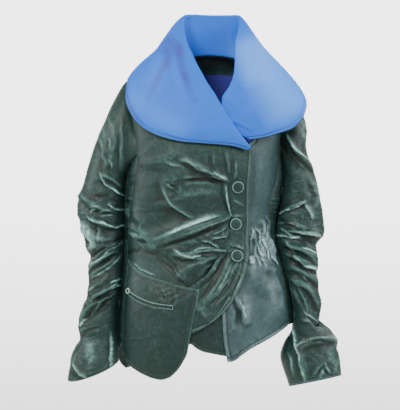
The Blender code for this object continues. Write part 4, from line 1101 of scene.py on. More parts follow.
def crease_height(folds, x, z):
    """Sharper folds than the solids hold: a narrow crest with a dip along its lower side."""
    height = np.zeros(np.shape(x))
    for row in folds:
        fold = dict(zip(FOLD_COLUMNS, row))
        share, aside = fold_run(fold, x, z)
        wander = noise(share * WANDER_WAVES, 0 * x + fold["x1"] * WANDER_SPREAD, WANDER_SEED) - 0.5
        aside = aside - CREASE_WANDER * fold["width"] * wander
        fade = ease(np.minimum(share + CREASE_OVERRUN, 1 + CREASE_OVERRUN - share) / CREASE_FADE)
        width = np.where(aside > 0, fold["width"], fold["width"] * fold["edge"])
        crest = np.exp(-((np.abs(aside) / width) ** CREST_POWER))
        dip = np.exp(-(((aside / fold["width"] + DIP_PLACE) / DIP_WIDTH) ** 2))
        height = height + fold["height"] * fade * (crest - (CREASE_DIP * dip if fold["height"] > 0 else 0))
    return height


# Veins: the size and share of each net, how far it drifts and how thin its lines are
VEIN_NETS = ((15.0, 0.75), (7.5, 1.0))
VEIN_DRIFT = 0.9
DRIFT_STRETCH = 0.7
VEIN_SQUASH = 1.3
VEIN_POWER = 6


def veins(x, z, seed=0):
    """A net of thin lines, as on crushed pile, from 0 to 1, along which the painted highlights gather."""
    lines = np.zeros(np.shape(x))
    for step, (size, share) in enumerate(VEIN_NETS):
        drift = VEIN_DRIFT * noise(x / size * DRIFT_STRETCH + 3, z / size * DRIFT_STRETCH, seed + 31 + step)
        line = 1 - np.abs(2 * noise(x / size + drift, z / size * VEIN_SQUASH - drift, seed + 17 + step) - 1)
        lines = np.maximum(lines, share * line**VEIN_POWER)
    return lines


def patch_height(patches, x, z, seed=0):
    """The crinkles of a table's patches at x and z."""
    height = np.zeros(np.shape(x))
    for number, row in enumerate(patches):
        spot = dict(zip(PATCH_COLUMNS, row))
        aside, above = x - spot["x"], z - spot["z"]
        mask = np.exp(-((aside / spot["reach_x"]) ** 2) - (above / spot["reach_z"]) ** 2)
        across = (aside + spot["slant"] * above) / spot["grain_x"]
        down = (above - spot["slant"] * aside) / spot["grain_z"]
        height = height + spot["height"] * mask * (crinkle(across, down, seed + number) - CRINKLE_MEAN)
    return height


def blurred(values, times, closed=False):
    """Values smoothed over their neighbours in a net."""
    for _ in range(times):
        padded = np.pad(values, ((1, 1), (0, 0)), mode="edge")
        values = (padded[:-2] + 2 * values + padded[2:]) / 4
        padded = np.pad(values, ((0, 0), (1, 1)), mode="wrap" if closed else "edge")
        values = (padded[:, :-2] + 2 * values + padded[:, 2:]) / 4
    return values


# Painted highlight on crests and painted shade in hollows: how far crests are compared and how strongly they
# show, then the painted glints' strength and break-up
CREST_BLUR = 14
CREST_GAIN = 0.25
FINE_BLUR = 3
FINE_GAIN = 1.1
CREST_SHARE = 0.55
FINE_SHARE = 0.75
GLINT_LIMIT = 1.2
GLINT_GAIN = 0.9
GLINT_PLAIN = 0.30
GLINT_VEIN = 0.95
GLINT_CRINKLE = 0.35
GLINT_EVERYWHERE = 0.035
CRINKLE_SIZE = 8.0
CLOUD_SIZE = 45.0
CREASE_RISE = 1.3


def glints(table, x, z, seed=0):
    """Painted highlights in streaks and spots, broken up as crushed pile breaks them, and painted shade
    where a table's height is below nought.
    """
    light = GLINT_GAIN * crease_height(table, x, z)
    vein = veins(x, z, seed)
    broken = GLINT_CRINKLE * crinkle(x / CRINKLE_SIZE, z / CRINKLE_SIZE, seed + 60)
    spread = np.maximum(light, 0) * (GLINT_PLAIN + GLINT_VEIN * vein + broken)
    everywhere = GLINT_EVERYWHERE * vein * noise(x / CLOUD_SIZE, z / CLOUD_SIZE, seed + 50)
    return np.clip(np.where(light > 0, spread, light) + everywhere, -1.0, GLINT_LIMIT)


def crests(relief, closed=False):
    """Where cloth stands above its surroundings, from -1 to 1: painted lighter there, as a highlight, and
    darker where it lies lower, as shade.
    """
    broad = np.clip((relief - blurred(relief, CREST_BLUR, closed)) * CREST_GAIN, -1, 1)
    fine = np.clip((relief - blurred(relief, FINE_BLUR, closed)) * FINE_GAIN, -1, 1)
    return np.clip(CREST_SHARE * broad + FINE_SHARE * fine, -1, 1)


def run_from(points, side):
    """How far each point of a net lies from one of its sides, along the cloth."""
    if side in ("left", "right"):
        steps = np.linalg.norm(np.diff(points, axis=1), axis=2)
        start = np.zeros((len(points), 1))
        run = np.concatenate([start, np.cumsum(steps, axis=1)], axis=1)
        return run if side == "left" else run[:, -1:] - run
    steps = np.linalg.norm(np.diff(points, axis=0), axis=2)
    start = np.zeros((1, points.shape[1]))
    run = np.concatenate([start, np.cumsum(steps, axis=0)], axis=0)
    return run if side == "top" else run[-1:] - run


def line_on(points, normals, side, inside):
    """The line that runs along a side of a net, some way inside it, and its normals."""
    run = run_from(points, side)
    if side in ("left", "right"):
        points, normals, run = (np.swapaxes(net, 0, 1) for net in (points, normals, run))
    if side in ("right", "bottom"):
        points, normals, run = points[::-1], normals[::-1], run[::-1]
    columns = range(points.shape[1])
    line, out = (
        np.array([[np.interp(inside, run[:, k], net[:, k, axis]) for axis in range(3)] for k in columns])
        for net in (points, normals)
    )
    return line, unit(out)


SHARP_ANGLE = math.radians(70)


def finish_mesh(name, points, faces, materials, indexes=None, **shades):
    """A smooth mesh in the room from points in millimetres, with its painted shading and glints where they
    are given.
    """
    mesh = bpy.data.meshes.new(name)
    mesh.from_pydata(np.asarray(points) * MM, [], faces)
    for material in materials:
        mesh.materials.append(material)
    if indexes is not None:
        mesh.polygons.foreach_set("material_index", np.asarray(indexes, np.int32))
    for shade, values in shades.items():
        layer = mesh.attributes.new(shade, "FLOAT", "POINT")
        layer.data.foreach_set("value", np.asarray(values, np.float32))
    mesh.shade_smooth()
    mesh.set_sharp_from_angle(angle=SHARP_ANGLE)
    piece = bpy.data.objects.new(name, mesh)
    bpy.context.scene.collection.objects.link(piece)
    return piece


def on_root(piece):
    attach(piece, "root")
    return piece


def rim_loops(rows, columns, closed):
    """The open sides of a net, each as a closed loop of its points' numbers."""
    number = np.arange(rows * columns).reshape(rows, columns)
    if closed:
        return [number[0], number[-1][::-1]]
    return [np.concatenate([number[0, :-1], number[:-1, -1], number[-1, :0:-1], number[:0:-1, 0]])]


def net_faces(rows, columns, closed):
    """The four-sided faces of a net, by its points' numbers."""
    number = np.arange(rows * columns).reshape(rows, columns)
    beside = np.roll(number, -1, axis=1)
    here, there = (number, beside) if closed else (number[:, :-1], beside[:, :-1])
    return np.stack([here[:-1], here[1:], there[1:], there[:-1]], axis=-1).reshape(-1, 4)


# Shells: how far the velvet reaches inside at the hem and the top, the share of painted shading inside, and
# the painted highlight on the rim
HEM_FACING = 0.14
TOP_FACING = 0.08
LINING_SHADING = 0.3
RIM_HIGHLIGHT = 0.3


def over_the_rim(points, closed):
    """The direction out over the rim at each point on a side of a net."""
    rows, columns = (np.arange(size) for size in points.shape[:2])
    inner_rows = np.clip(rows, 1, rows[-1] - 1)
    inner_columns = columns if closed else np.clip(columns, 1, columns[-1] - 1)
    return unit((points - points[inner_rows][:, inner_columns]).reshape(-1, 3))


def lined_faces(total, outside):
    """Material numbers: the lining's on the inside, but for the facings at its two ends."""
    indexes = np.zeros(total, int)
    indexes[outside + int(outside * TOP_FACING):outside + int(outside * (1 - HEM_FACING))] = 1
    return indexes


def shell(name, points, normals, materials, nap, glint, wall=WALL, closed=False, turned=False):
    """A thin shell of cloth with rounded rims: the outside first, then the lining's side and its facing."""
    rows, columns = points.shape[:2]
    count = rows * columns
    outer, inner = points.reshape(-1, 3), (points - normals * wall).reshape(-1, 3)
    nap, glint = nap.reshape(-1), glint.reshape(-1)
    quads = net_faces(rows, columns, closed)
    faces = [quads, quads[:, ::-1] + count]
    vertices, shades, lights = [outer, inner], [nap, nap * LINING_SHADING], [glint, np.zeros(count)]
    away = over_the_rim(points, closed)
    start = 2 * count
    for loop in rim_loops(rows, columns, closed):
        ahead = np.roll(loop, -1)
        bulge = start + np.arange(len(loop))
        bulge_ahead = np.roll(bulge, -1)
        faces.append(np.stack([loop, ahead, bulge_ahead, bulge], axis=-1))
        faces.append(np.stack([bulge, bulge_ahead, ahead + count, loop + count], axis=-1))
        vertices.append((outer[loop] + inner[loop] + away[loop] * wall) / 2)
        # The rim is painted lighter, as a highlight
        shades.append(np.minimum(nap[loop] + RIM_HIGHLIGHT, 1))
        lights.append(glint[loop])
        start += len(loop)
    vertices, shades, lights, faces = (np.concatenate(part) for part in (vertices, shades, lights, faces))
    indexes = lined_faces(len(faces), len(quads)) if len(materials) > 1 else None
    faces = faces[:, ::-1] if turned else faces
    return finish_mesh(name, vertices, faces, materials, indexes, nap=shades, glint=lights)


def declare(piece, node, points, closed=False):
    """Ties a piece of cloth to the node that it stands for, and works out its width, length and area from
    its own net, but keeps none of them.
    """
    on_root(piece)
    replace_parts(piece, node)
    around = np.concatenate([points, points[:, :1]], axis=1) if closed else points
    across, down = np.diff(around, axis=1), np.diff(around, axis=0)
    width = np.linalg.norm(across, axis=2).sum(axis=1).max() * MM
    length = np.linalg.norm(down, axis=2).sum(axis=0).max() * MM
    area = np.linalg.norm(np.cross(down[:, :-1], across[:-1]), axis=2).sum() * MM * MM
    area = min(area, width * length)


CORD_SIDES = 6
CORD_ASIDE = np.array([0.13, 0.97, 0.2])


def tube(name, path, radius, material, slot, sides=CORD_SIDES, nap=0.5, glint=0.0):
    """A fine cord of cloth along a path, such as a bound edge."""
    path = np.asarray(path, float)
    along = unit(np.gradient(path, axis=0))
    aside = unit(np.cross(along, CORD_ASIDE))
    up = np.cross(aside, along)
    turn = np.linspace(0, 2 * math.pi, sides, endpoint=False)[None, :, None]
    ring = np.cos(turn) * aside[:, None] + np.sin(turn) * up[:, None]
    points = (path[:, None] + radius * ring).reshape(-1, 3)
    faces = net_faces(len(path), sides, True).tolist()
    faces.append(list(range(sides)))
    faces.append(list(range(len(points) - sides, len(points)))[::-1])
    shade, light = np.full(len(points), nap), np.full(len(points), glint)
    return on_root(finish_mesh(name, points, faces, [material], nap=shade, glint=light))


# Stitches and rungs: pitch, length and thickness, and each one's swelling along its length
STITCH_PITCH = 3.6
STITCH_LENGTH = 2.3
STITCH_RADIUS = 0.42
STITCH_SHAPE = ((-0.5, 0.35), (-0.25, 0.95), (0.25, 0.95), (0.5, 0.35))
# Stitches are painted lighter, as a highlight
STITCH_HIGHLIGHT = 0.6
STITCH_RISE = 0.2
PANEL_STITCH_RISE = 0.25
THREAD_SIDES = 5
RUNG_PITCH = 5.0
RUNG_RADIUS = 0.8
# Rungs are painted lighter, as a highlight
RUNG_HIGHLIGHT = 0.3


def run_along(line):
    return np.concatenate([[0.0], np.cumsum(np.linalg.norm(np.diff(line, axis=0), axis=1))])


def read_along(lengths, values, at):
    """Values at a line's points, read at distances along it."""
    return np.stack([np.interp(at, lengths, values[:, k]) for k in range(3)], axis=-1)


def thread_marks(name, marks, material, nap):
    """Short raised threads, each from its middle, heading, normal, length and thickness, in one mesh."""
    vertices, faces = [], []
    for centre, run, up, length, radius in marks:
        side = np.cross(run, up)
        start = len(vertices)
        for share, thick in STITCH_SHAPE:
            for turn in range(THREAD_SIDES):
                angle = 2 * math.pi * turn / THREAD_SIDES
                ring = side * math.cos(angle) + up * math.sin(angle)
                vertices.append(centre + run * share * length + ring * thick * radius)
        end = len(vertices)
        for first in range(start, end - THREAD_SIDES, THREAD_SIDES):
            for turn in range(THREAD_SIDES):
                here, beside = first + turn, first + (turn + 1) % THREAD_SIDES
                faces.append((here, beside, beside + THREAD_SIDES, here + THREAD_SIDES))
        faces.append(tuple(range(start, start + THREAD_SIDES))[::-1])
        faces.append(tuple(range(end - THREAD_SIDES, end)))
    shade = np.full(len(vertices), nap)
    return on_root(finish_mesh(name, np.array(vertices), faces, [material], nap=shade))


def stitches(name, lines, material):
    """A row of short raised stitches along each of some lines."""
    marks = []
    for line, out in lines:
        lengths = run_along(line)
        at = np.arange(STITCH_PITCH, lengths[-1] - STITCH_PITCH, STITCH_PITCH)
        places = read_along(lengths, line, at)
        runs = unit(read_along(lengths, line, at + 0.5) - places)
        ups = read_along(lengths, out, at)
        marks += [(*mark, STITCH_LENGTH, STITCH_RADIUS) for mark in zip(places, runs, ups)]
    return thread_marks(name, marks, material, STITCH_HIGHLIGHT)


def rungs(name, points, normals, side, span):
    """Small ridges across a binding, between two distances from a side of a net."""
    (near, out), (far, _) = (line_on(points, normals, side, inside) for inside in span)
    middle = (near + far) / 2
    lengths = run_along(middle)
    at = np.arange(RUNG_PITCH, lengths[-1], RUNG_PITCH)
    places, across, ups = (read_along(lengths, values, at) for values in (middle, far - near, out))
    sizes = np.linalg.norm(across, axis=1)
    marks = [(*mark, size, RUNG_RADIUS) for *mark, size in zip(places, unit(across), ups, sizes)]
    return thread_marks(name, marks, THREAD, RUNG_HIGHLIGHT)


# Pressed stitch lines and edges: groove depth and width, and the light and shade beside them
STITCH_GROOVE = 1.1
STITCH_GROOVE_WIDTH = 2.2
STITCH_GROOVE_SHADE = 0.35
EDGE_LIGHT = 0.60
EDGE_LIGHT_WIDTH = 1.8
SEAM_LIGHT = 0.20
SEAM_LIGHT_PLACE = 3.08
SEAM_LIGHT_WIDTH = 1.6
SEAM_SHADE = 0.30
PANEL_DEPTH = 6.0
TUBE_DEPTH = 4.0


def bell(distance, width):
    """1 where the distance is nought, falling to nought on both sides."""
    return np.exp(-((distance / width) ** 2))


def held_up(relief, depth):
    """Relief whose troughs never reach a depth."""
    return np.where(relief < 0, depth * np.tanh(relief / depth), relief)


def relief_on(net, panel, more):
    """A panel's points with its folds, crinkles and pressed stitch lines, normals, painted shading and
    painted glints.
    """
    turn, level = net[..., 0], net[..., 1]
    base, out = form(turn, level), form_normal(turn, level)
    x, z = base[..., 0], base[..., 2]
    raised = held_up(fold_height(panel["folds"], x, z) + crease_height(panel["creases"], x, z), PANEL_DEPTH)
    relief = raised + patch_height(panel["patches"], x, z, panel["seed"])
    relief = relief + CREASE_RISE * crease_height(panel["glints"], x, z)
    # Crests painted lighter and hollows darker, and the glints painted as highlights and shade
    nap = crests(relief)
    light = glints(panel["glints"], x, z, panel["seed"])
    for side, inside in panel["seams"]:
        run = run_from(base, side)
        groove = bell(run - inside, STITCH_GROOVE_WIDTH)
        relief = relief - STITCH_GROOVE * groove
        # Painted shade in the groove and a painted highlight along the edge
        nap = nap - STITCH_GROOVE_SHADE * groove + EDGE_LIGHT * bell(run, EDGE_LIGHT_WIDTH)
        light = light + SEAM_LIGHT * bell(run - inside + SEAM_LIGHT_PLACE, SEAM_LIGHT_WIDTH)
        light = light - SEAM_SHADE * groove
    points = base + out * (LAYER[panel["layer"]] + np.broadcast_to(more, relief.shape) + relief)[..., None]
    return points, out, np.clip(nap, -1, 1), light


def new_material(name):
    """A material, its node tree and its surface shader."""
    material = bpy.data.materials.new(name)
    material.use_nodes = True
    return material, material.node_tree, material.node_tree.nodes["Principled BSDF"]


def set_inputs(node, values):
    for name, value in values.items():
        node.inputs[name].default_value = value


def noise_node(tree, where, scale, detail=3.0, roughness=0.55, stretch=(1, 1, 1)):
    """A noise texture over the object's own coordinates, stretched along its axes."""
    mapping = tree.nodes.new("ShaderNodeMapping")
    set_inputs(mapping, {"Scale": stretch})
    tree.links.new(where, mapping.inputs["Vector"])
    texture = tree.nodes.new("ShaderNodeTexNoise")
    set_inputs(texture, {"Scale": scale, "Detail": detail, "Roughness": roughness})
    tree.links.new(mapping.outputs["Vector"], texture.inputs["Vector"])
    return texture.outputs["Fac"]


def ramp(tree, source, stops):
    """A colour for each value, from a list of places and colours."""
    node = tree.nodes.new("ShaderNodeValToRGB")
    elements = node.color_ramp.elements
    elements[0].position, elements[0].color = stops[0][0], (*stops[0][1], 1)
    elements[1].position, elements[1].color = stops[-1][0], (*stops[-1][1], 1)
    for place, colour in stops[1:-1]:
        elements.new(place).color = (*colour, 1)
    tree.links.new(source, node.inputs["Fac"])
    return node.outputs["Color"]


def arithmetic(tree, operation, *values, clamp=False):
    """A sum on sockets and plain numbers."""
    node = tree.nodes.new("ShaderNodeMath")
    node.operation = operation
    node.use_clamp = clamp
    for socket, value in zip(node.inputs, values):
        if isinstance(value, (int, float)):
            socket.default_value = value
        else:
            tree.links.new(value, socket)
    return node.outputs[0]


def weighted(tree, parts):
    """The sum of some values, each times its weight."""
    total = 0.0
    for source, weight in parts:
        total = arithmetic(tree, "MULTIPLY_ADD", source, weight, total)
    return total


def attribute(tree, name):
    node = tree.nodes.new("ShaderNodeAttribute")
    node.attribute_name = name
    return node.outputs["Fac"]


def blend(tree, share, base, colour):
    """A colour laid over a base by a share."""
    mix = tree.nodes.new("ShaderNodeMix")
    mix.data_type = "RGBA"
    tree.links.new(share, mix.inputs[0])
    tree.links.new(base, mix.inputs[6])
    mix.inputs[7].default_value = (*colour, 1.0)
    return mix.outputs[2]


def bump(tree, heights, shader):
    """Bumps from a list of height, strength and distance, one on top of another."""
    normal = None
    for height, strength, distance in heights:
        node = tree.nodes.new("ShaderNodeBump")
        set_inputs(node, {"Strength": strength, "Distance": distance})
        tree.links.new(height, node.inputs["Height"])
        if normal is not None:
            tree.links.new(normal, node.inputs["Normal"])
        normal = node.outputs["Normal"]
    tree.links.new(normal, shader.inputs["Normal"])


# Noise in each cloth: scale, detail, roughness and stretch
PILE_NOISE = {
    "streaks": (420.0, 3.0, 0.6, (1.0, 1.0, 0.14)),
    "mottle": (60.0, 5.0, 0.66, (1.0, 1.0, 0.7)),
    "clouds": (10.0, 3.0, 0.5, (1.0, 1.0, 0.8)),
    "grain": (240.0, 3.0, 0.7, (1.0, 1.0, 0.55)),
    "fine": (1500.0, 2.0),
}
SILK_NOISE = {
    "warp": (620.0, 2.0, 0.5, (1.0, 0.3, 0.05)),
    "weft": (620.0, 2.0, 0.5, (0.04, 0.3, 1.0)),
    "clouds": (12.0, 4.0, 0.6),
}
# How much each thing says about the tone, painted shading among them, and the tones of the three colours
PILE_WEIGHTS = {"nap": 0.34, "mottle": 0.30, "clouds": 0.26, "streaks": 0.34, "grain": 0.34}
PILE_STOPS = (0.40, 0.67, 1.07)
SILK_WEIGHTS = {"clouds": 0.42, "warp": 0.22, "weft": 0.22, "nap": 0.50, "facing": 0.10}
SILK_STOPS = (0.34, 0.50, 0.86)
# Bumps: strength and distance
PILE_BUMPS = {"mottle": (0.30, 0.003), "streaks": (0.22, 0.001), "fine": (0.25, 0.0004)}
SILK_BUMPS = {"clouds": (0.22, 0.005), "warp": (0.16, 0.0006), "weft": (0.16, 0.0006)}
PILE_SHEEN = {
    "Specular IOR Level": 0.40, "Sheen Weight": 0.22, "Sheen Roughness": 0.22,
    "Sheen Tint": (0.45, 0.90, 0.82, 1.0),
}
SILK_SHEEN = {"Specular IOR Level": 0.18, "Sheen Weight": 0.0}
# Roughness and how the painted highlights smooth it and break up, the silk's glance, and the painted shade's
# darkness and strength
PILE_ROUGHNESS = 0.52
HIGHLIGHT_SMOOTHING = -0.16
HIGHLIGHT_BREAK = (1.1, 0.45)
FACING_BLEND = 0.28
PILE_SHADE = 0.3
PILE_SHADE_GAIN = -1.1
SILK_SHADE = 0.2


def cloth_tone(tree, noises, weights, stops, colours):
    """The base colour of a cloth by its noises and painted shading, with the values that made it."""
    where = tree.nodes.new("ShaderNodeTexCoord").outputs["Object"]
    values = {name: noise_node(tree, where, *noise_row) for name, noise_row in noises.items()}
    values.update(nap=attribute(tree, "nap"), glint=attribute(tree, "glint"))
    if "facing" in weights:
        facing = tree.nodes.new("ShaderNodeLayerWeight")
        set_inputs(facing, {"Blend": FACING_BLEND})
        values["facing"] = facing.outputs["Facing"]
    tone = weighted(tree, [(values[name], weight) for name, weight in weights.items()])
    return ramp(tree, tone, tuple(zip(stops, colours))), values


def velvet(name, dark, middle, light, highlight_colour):
    """Silk velvet: dark pile, mottled and streaked along its lie, painted lighter on crests and darker in
    hollows, with painted white highlights and painted shade from its glints.
    """
    material, tree, shader = new_material(name)
    base, values = cloth_tone(tree, PILE_NOISE, PILE_WEIGHTS, PILE_STOPS, (dark, middle, light))
    broken = arithmetic(tree, "MULTIPLY_ADD", values["mottle"], *HIGHLIGHT_BREAK)
    highlighted = arithmetic(tree, "MULTIPLY", values["glint"], broken, clamp=True)
    shade = arithmetic(tree, "MULTIPLY", values["glint"], PILE_SHADE_GAIN)
    base = blend(tree, highlighted, base, highlight_colour)
    base = blend(tree, shade, base, [PILE_SHADE * value for value in dark])
    tree.links.new(base, shader.inputs["Base Color"])
    smoother = arithmetic(tree, "MULTIPLY_ADD", highlighted, HIGHLIGHT_SMOOTHING, PILE_ROUGHNESS)
    tree.links.new(smoother, shader.inputs["Roughness"])
    set_inputs(shader, PILE_SHEEN)
    bump(tree, [(values[height], *sizes) for height, sizes in PILE_BUMPS.items()], shader)
    return material


def silk(name, blue, violet, light, roughness):
    """Shot silk: blue that turns violet in painted streaks and at a glance, with slubbed threads both ways,
    painted lighter by its glints and darker where they fall below nought.
    """
    material, tree, shader = new_material(name)
    base, values = cloth_tone(tree, SILK_NOISE, SILK_WEIGHTS, SILK_STOPS, (blue, blue, violet))
    shade = arithmetic(tree, "MULTIPLY", values["glint"], -1.0)
    base = blend(tree, values["glint"], base, light)
    base = blend(tree, shade, base, [SILK_SHADE * value for value in blue])
    tree.links.new(base, shader.inputs["Base Color"])
    set_inputs(shader, {**SILK_SHEEN, "Roughness": roughness})
    bump(tree, [(values[height], *sizes) for height, sizes in SILK_BUMPS.items()], shader)
    return material


# Each velvet's dark, middle and light tones and the colour of its painted highlights; each silk's blue,
# violet, painted highlight colour and roughness
GREEN = velvet(
    "green_velvet", (0.004, 0.015, 0.012), (0.013, 0.044, 0.036), (0.060, 0.150, 0.125), (0.44, 0.84, 0.74)
)
GREY = velvet(
    "grey_velvet", (0.017, 0.038, 0.040), (0.044, 0.092, 0.096), (0.105, 0.195, 0.205), (0.56, 0.78, 0.82)
)
BLUE = silk("blue_silk", (0.024, 0.170, 0.760), (0.060, 0.095, 0.440), (0.110, 0.360, 1.000), 0.55)
LINING = silk("violet_lining", (0.050, 0.052, 0.300), (0.090, 0.050, 0.280), (0.080, 0.130, 0.480), 0.42)
THREAD = velvet(
    "thread", (0.045, 0.085, 0.072), (0.085, 0.145, 0.125), (0.16, 0.23, 0.21), (0.60, 0.74, 0.69)
)
BLUE_THREAD = silk("blue_thread", (0.022, 0.090, 0.420), (0.080, 0.060, 0.320), (0.060, 0.180, 0.500), 0.5)
CLOTHS = {"velvet": GREEN, "velvet_grey": GREY}

# Every panel on the form: seams are side and distance in, cords side and radius, bindings side and span
PANEL_COLUMNS = (
    "layer", "slot", "held", "rests_on", "seed", "folds", "creases", "patches", "glints",
    "seams", "cords", "bindings",
)
PANELS = {
    "underlap": (
        "underlap", "velvet", "hung", ("front_right_skirt",), 0, (), (), PATCHES_UNDERLAP, GLINTS_UNDERLAP,
        (("bottom", 7.0),), (("bottom", 1.3),), (),
    ),
    "front_left": (
        "front_left", "velvet_grey", "hung", ("side_left",), 0,
        FOLDS_FRONT_LEFT, FINE_FRONT_LEFT, PATCHES_FRONT_LEFT, GLINTS_FRONT_LEFT,
        (("bottom", 8.0), ("left", 8.0)), (("bottom", 1.5), ("left", 1.4)), (),
    ),
    "button_band": (
        "band", "velvet", "hung", ("front_left",), 0, (), BAND_FOLDS, PATCHES_BAND, GLINTS_BAND,
        (("right", 8.0),), (("right", 1.3),), (("right", (1.0, 6.5)),),
    ),
    "front_right_skirt": (
        "skirt", "velvet", "hung", ("front_right",), 0, FOLDS_SKIRT, FINE_SKIRT, PATCHES_SKIRT, GLINTS_SKIRT,
        (("right", 9.0), ("bottom", 9.0), ("right", 20.0)), (("right", 1.4), ("bottom", 1.4)),
        (("right", (1.0, 8.0)),),
    ),
    "front_right": (
        "front_right", "velvet", "gathered", ("button_band", "front_right_skirt"), 0,
        FOLDS_FRONT_RIGHT, FINE_FRONT_RIGHT, PATCHES_FRONT_RIGHT, GLINTS_FRONT_RIGHT, (), (), (),
    ),
    "side_right": (
        "skirt", "velvet", "hung", ("back",), 6, (), (), PATCHES_SIDE, GLINTS_SIDE,
        (), (("bottom", 1.4),), (),
    ),
    "side_left": (
        "front_left", "velvet", "hung", ("back",), 12, (), (), PATCHES_SIDE, GLINTS_SIDE,
        (), (("bottom", 1.4),), (),
    ),
    "back": (
        "front_left", "velvet", "hung", ("side_left", "side_right"), 30,
        FOLDS_BACK, FINE_BACK, PATCHES_BACK, GLINTS_BACK, (("bottom", 8.0),), (("bottom", 1.5),), (),
    ),
    "pocket": (
        "pocket", "velvet", "hung", ("front_right_skirt",), 70,
        (), POCKET_FOLDS, PATCHES_POCKET, GLINTS_POCKET,
        (("top", 9.0), ("bottom", 9.0), ("left", 9.0), ("right", 9.0)),
        (("top", 1.7), ("bottom", 1.6), ("right", 1.6), ("left", 1.4)), (),
    ),
    "pocket_welt": (
        "pocket", "velvet", "folded", ("pocket",), 0, (), (), (), (),
        (("top", 2.2), ("bottom", 2.2)), (("top", 1.0), ("bottom", 1.0), ("right", 0.9)), (),
    ),
}
# Edge cords are painted lighter, as a highlight, and the welt's also get a painted glint
CORD_HIGHLIGHT = 0.7
CORD_LIGHT = {"pocket_welt": 0.5}

# Steps across and down each piece's net
GRIDS = {
    "underlap": (70, 60), "front_left": (92, 230), "button_band": (30, 150), "front_right_skirt": (120, 110),
    "front_right": (140, 200), "side": (34, 150), "back": (84, 160), "sleeve": (144, 216), "cuff": (120, 60),
    "collar": (280, 64), "pocket": (84, 104), "pocket_welt": (90, 10), "pocket_ring": (96, 120),
}


def sew_panel(name, net, more=0.0, turned=False):
    """A fine panel on the form, with its stitch lines and bound edges."""
    panel = dict(zip(PANEL_COLUMNS, PANELS[name]))
    slot, cloth = panel["slot"], f"{name}_cloth"
    points, normals, nap, glint = relief_on(net, panel, more)
    piece = shell(cloth, points, normals, [CLOTHS[slot], LINING], nap, glint, turned=turned)
    lines = [line_on(points, normals, *seam) for seam in panel["seams"]]
    if lines:
        lines = [(line + out * PANEL_STITCH_RISE, out) for line, out in lines]
        stitches(f"{cloth}_stitches", lines, THREAD)
    shades = {"nap": CORD_HIGHLIGHT, "glint": CORD_LIGHT.get(name, 0.0)}
    for side, radius in panel["cords"]:
        line, _ = line_on(points - normals * WALL / 2, normals, side, 0.0)
        tube(f"{cloth}_{side}_edge", line, radius, CLOTHS[slot], slot, **shades)
    for side, span in panel["bindings"]:
        rungs(f"{cloth}_{side}_binding", points, normals, side, span)
    declare(piece, name, points)
    return points, normals


def shares_of(net):
    """Shares across and down a net."""
    return np.linspace(0, 1, net.shape[1])[None, :], np.linspace(0, 1, net.shape[0])[:, None]


# The right front's drape: its pouch over the seam below, the turned edge by the band, loft and rolled hem
POUCH_DEPTH = 11.0
POUCH_START, POUCH_RISE = 0.55, 0.3
POUCH_END, POUCH_FALL = 0.90, 0.10
POUCH_POWER = 0.6
TURNED_EDGE = 5.5
TURNED_LEVEL, TURNED_REACH = -312, 38
LOFT, LOFT_POWER = 3.5, 0.7
ROLLED_EDGE = 6.0
ROLLED_START, ROLLED_RUN = 0.965, 0.035


def front_right_cloth():
    layer = LAYER["front_right"]
    neck = neck_edge(RIGHT_SHOULDER_ROW, RIGHT_CORNER_ROW)
    top = np.concatenate([shoulder_seam(-90, True), neck[1:]])
    seam = front(BAND_SEAM, layer)
    net = patch(top, front(DRAPE_EDGE, layer), RIGHT_FRONT_EDGE, seam, *GRIDS["front_right"])
    across, down = shares_of(net)
    level = net[..., 1]
    pouch = np.clip((down - POUCH_START) / POUCH_RISE, 0, 1) - ease((down - POUCH_END) / POUCH_FALL)
    pouch = POUCH_DEPTH * pouch * np.sin(np.pi * across) ** POUCH_POWER
    turned = TURNED_EDGE * np.clip(across * 10 - 9, 0, 1) * bell(level - TURNED_LEVEL, TURNED_REACH)
    loft = LOFT * (np.sin(np.pi * across) * np.sin(np.pi * down)) ** LOFT_POWER
    rolled = ROLLED_EDGE * ease((down - ROLLED_START) / ROLLED_RUN)
    sew_panel("front_right", net, pouch + turned + loft - rolled + settle(level))


SKIRT_TOP = ((-187, -372), (-120, -404), (-40, -424), (40, -432), (105, -440))


def skirt_cloth():
    layer = LAYER["skirt"]
    top = front(SKIRT_TOP, layer)
    left = np.concatenate([front(SKIRT_TOP[:1], layer), SIDE_OF_SKIRT])
    edges = top, front(SKIRT_HEM, layer), left, front(CUTAWAY_HEM, layer)
    sew_panel("front_right_skirt", patch(*edges, *GRIDS["front_right_skirt"]))


BAND_TOP = ((98, -179), (111, -188))
BAND_BOTTOM = ((56, -440), (104, -466))
BAND_EDGE = ((111, -188), (112, -212), (109, -250), (108, -362), (107, -440), (104, -466))
PIPING_RADIUS = 0.6
PIPING_OUT = 1.1


def button_band_cloth():
    """The button band, and the silk piping that shows beside its free edge."""
    top, bottom, right = (front(edge, LAYER["band"]) for edge in (BAND_TOP, BAND_BOTTOM, BAND_EDGE))
    net = patch(top, bottom, front(BAND_SEAM, LAYER["front_right"]), right, *GRIDS["button_band"])
    points, normals = sew_panel("button_band", net)
    aside = unit(points[:, -1] - points[:, -3])
    path = points[:, -1] + aside * PIPING_OUT - normals[:, -1] * WALL
    tube("button_band_piping", path, PIPING_RADIUS, BLUE, "silk_blue")


def front_left_cloth():
    layer = LAYER["front_left"]
    top = shoulder_seam(90, False)
    neck = neck_edge(LEFT_SHOULDER_ROW, LEFT_CORNER_ROW)
    left = np.concatenate([top[:1], neck[1:], front(FREE_EDGE_LEFT[1:], layer)])
    sew_panel("front_left", patch(top, front(LEFT_HEM, layer), left, LEFT_FRONT_EDGE, *GRIDS["front_left"]))


UNDERLAP_HEM = ((-60, -648), (-38, -660), (-20, -674), (0, -683), (25, -688), (80, -698))
UNDERLAP_TOP = ((-60, -560), (80, -560))


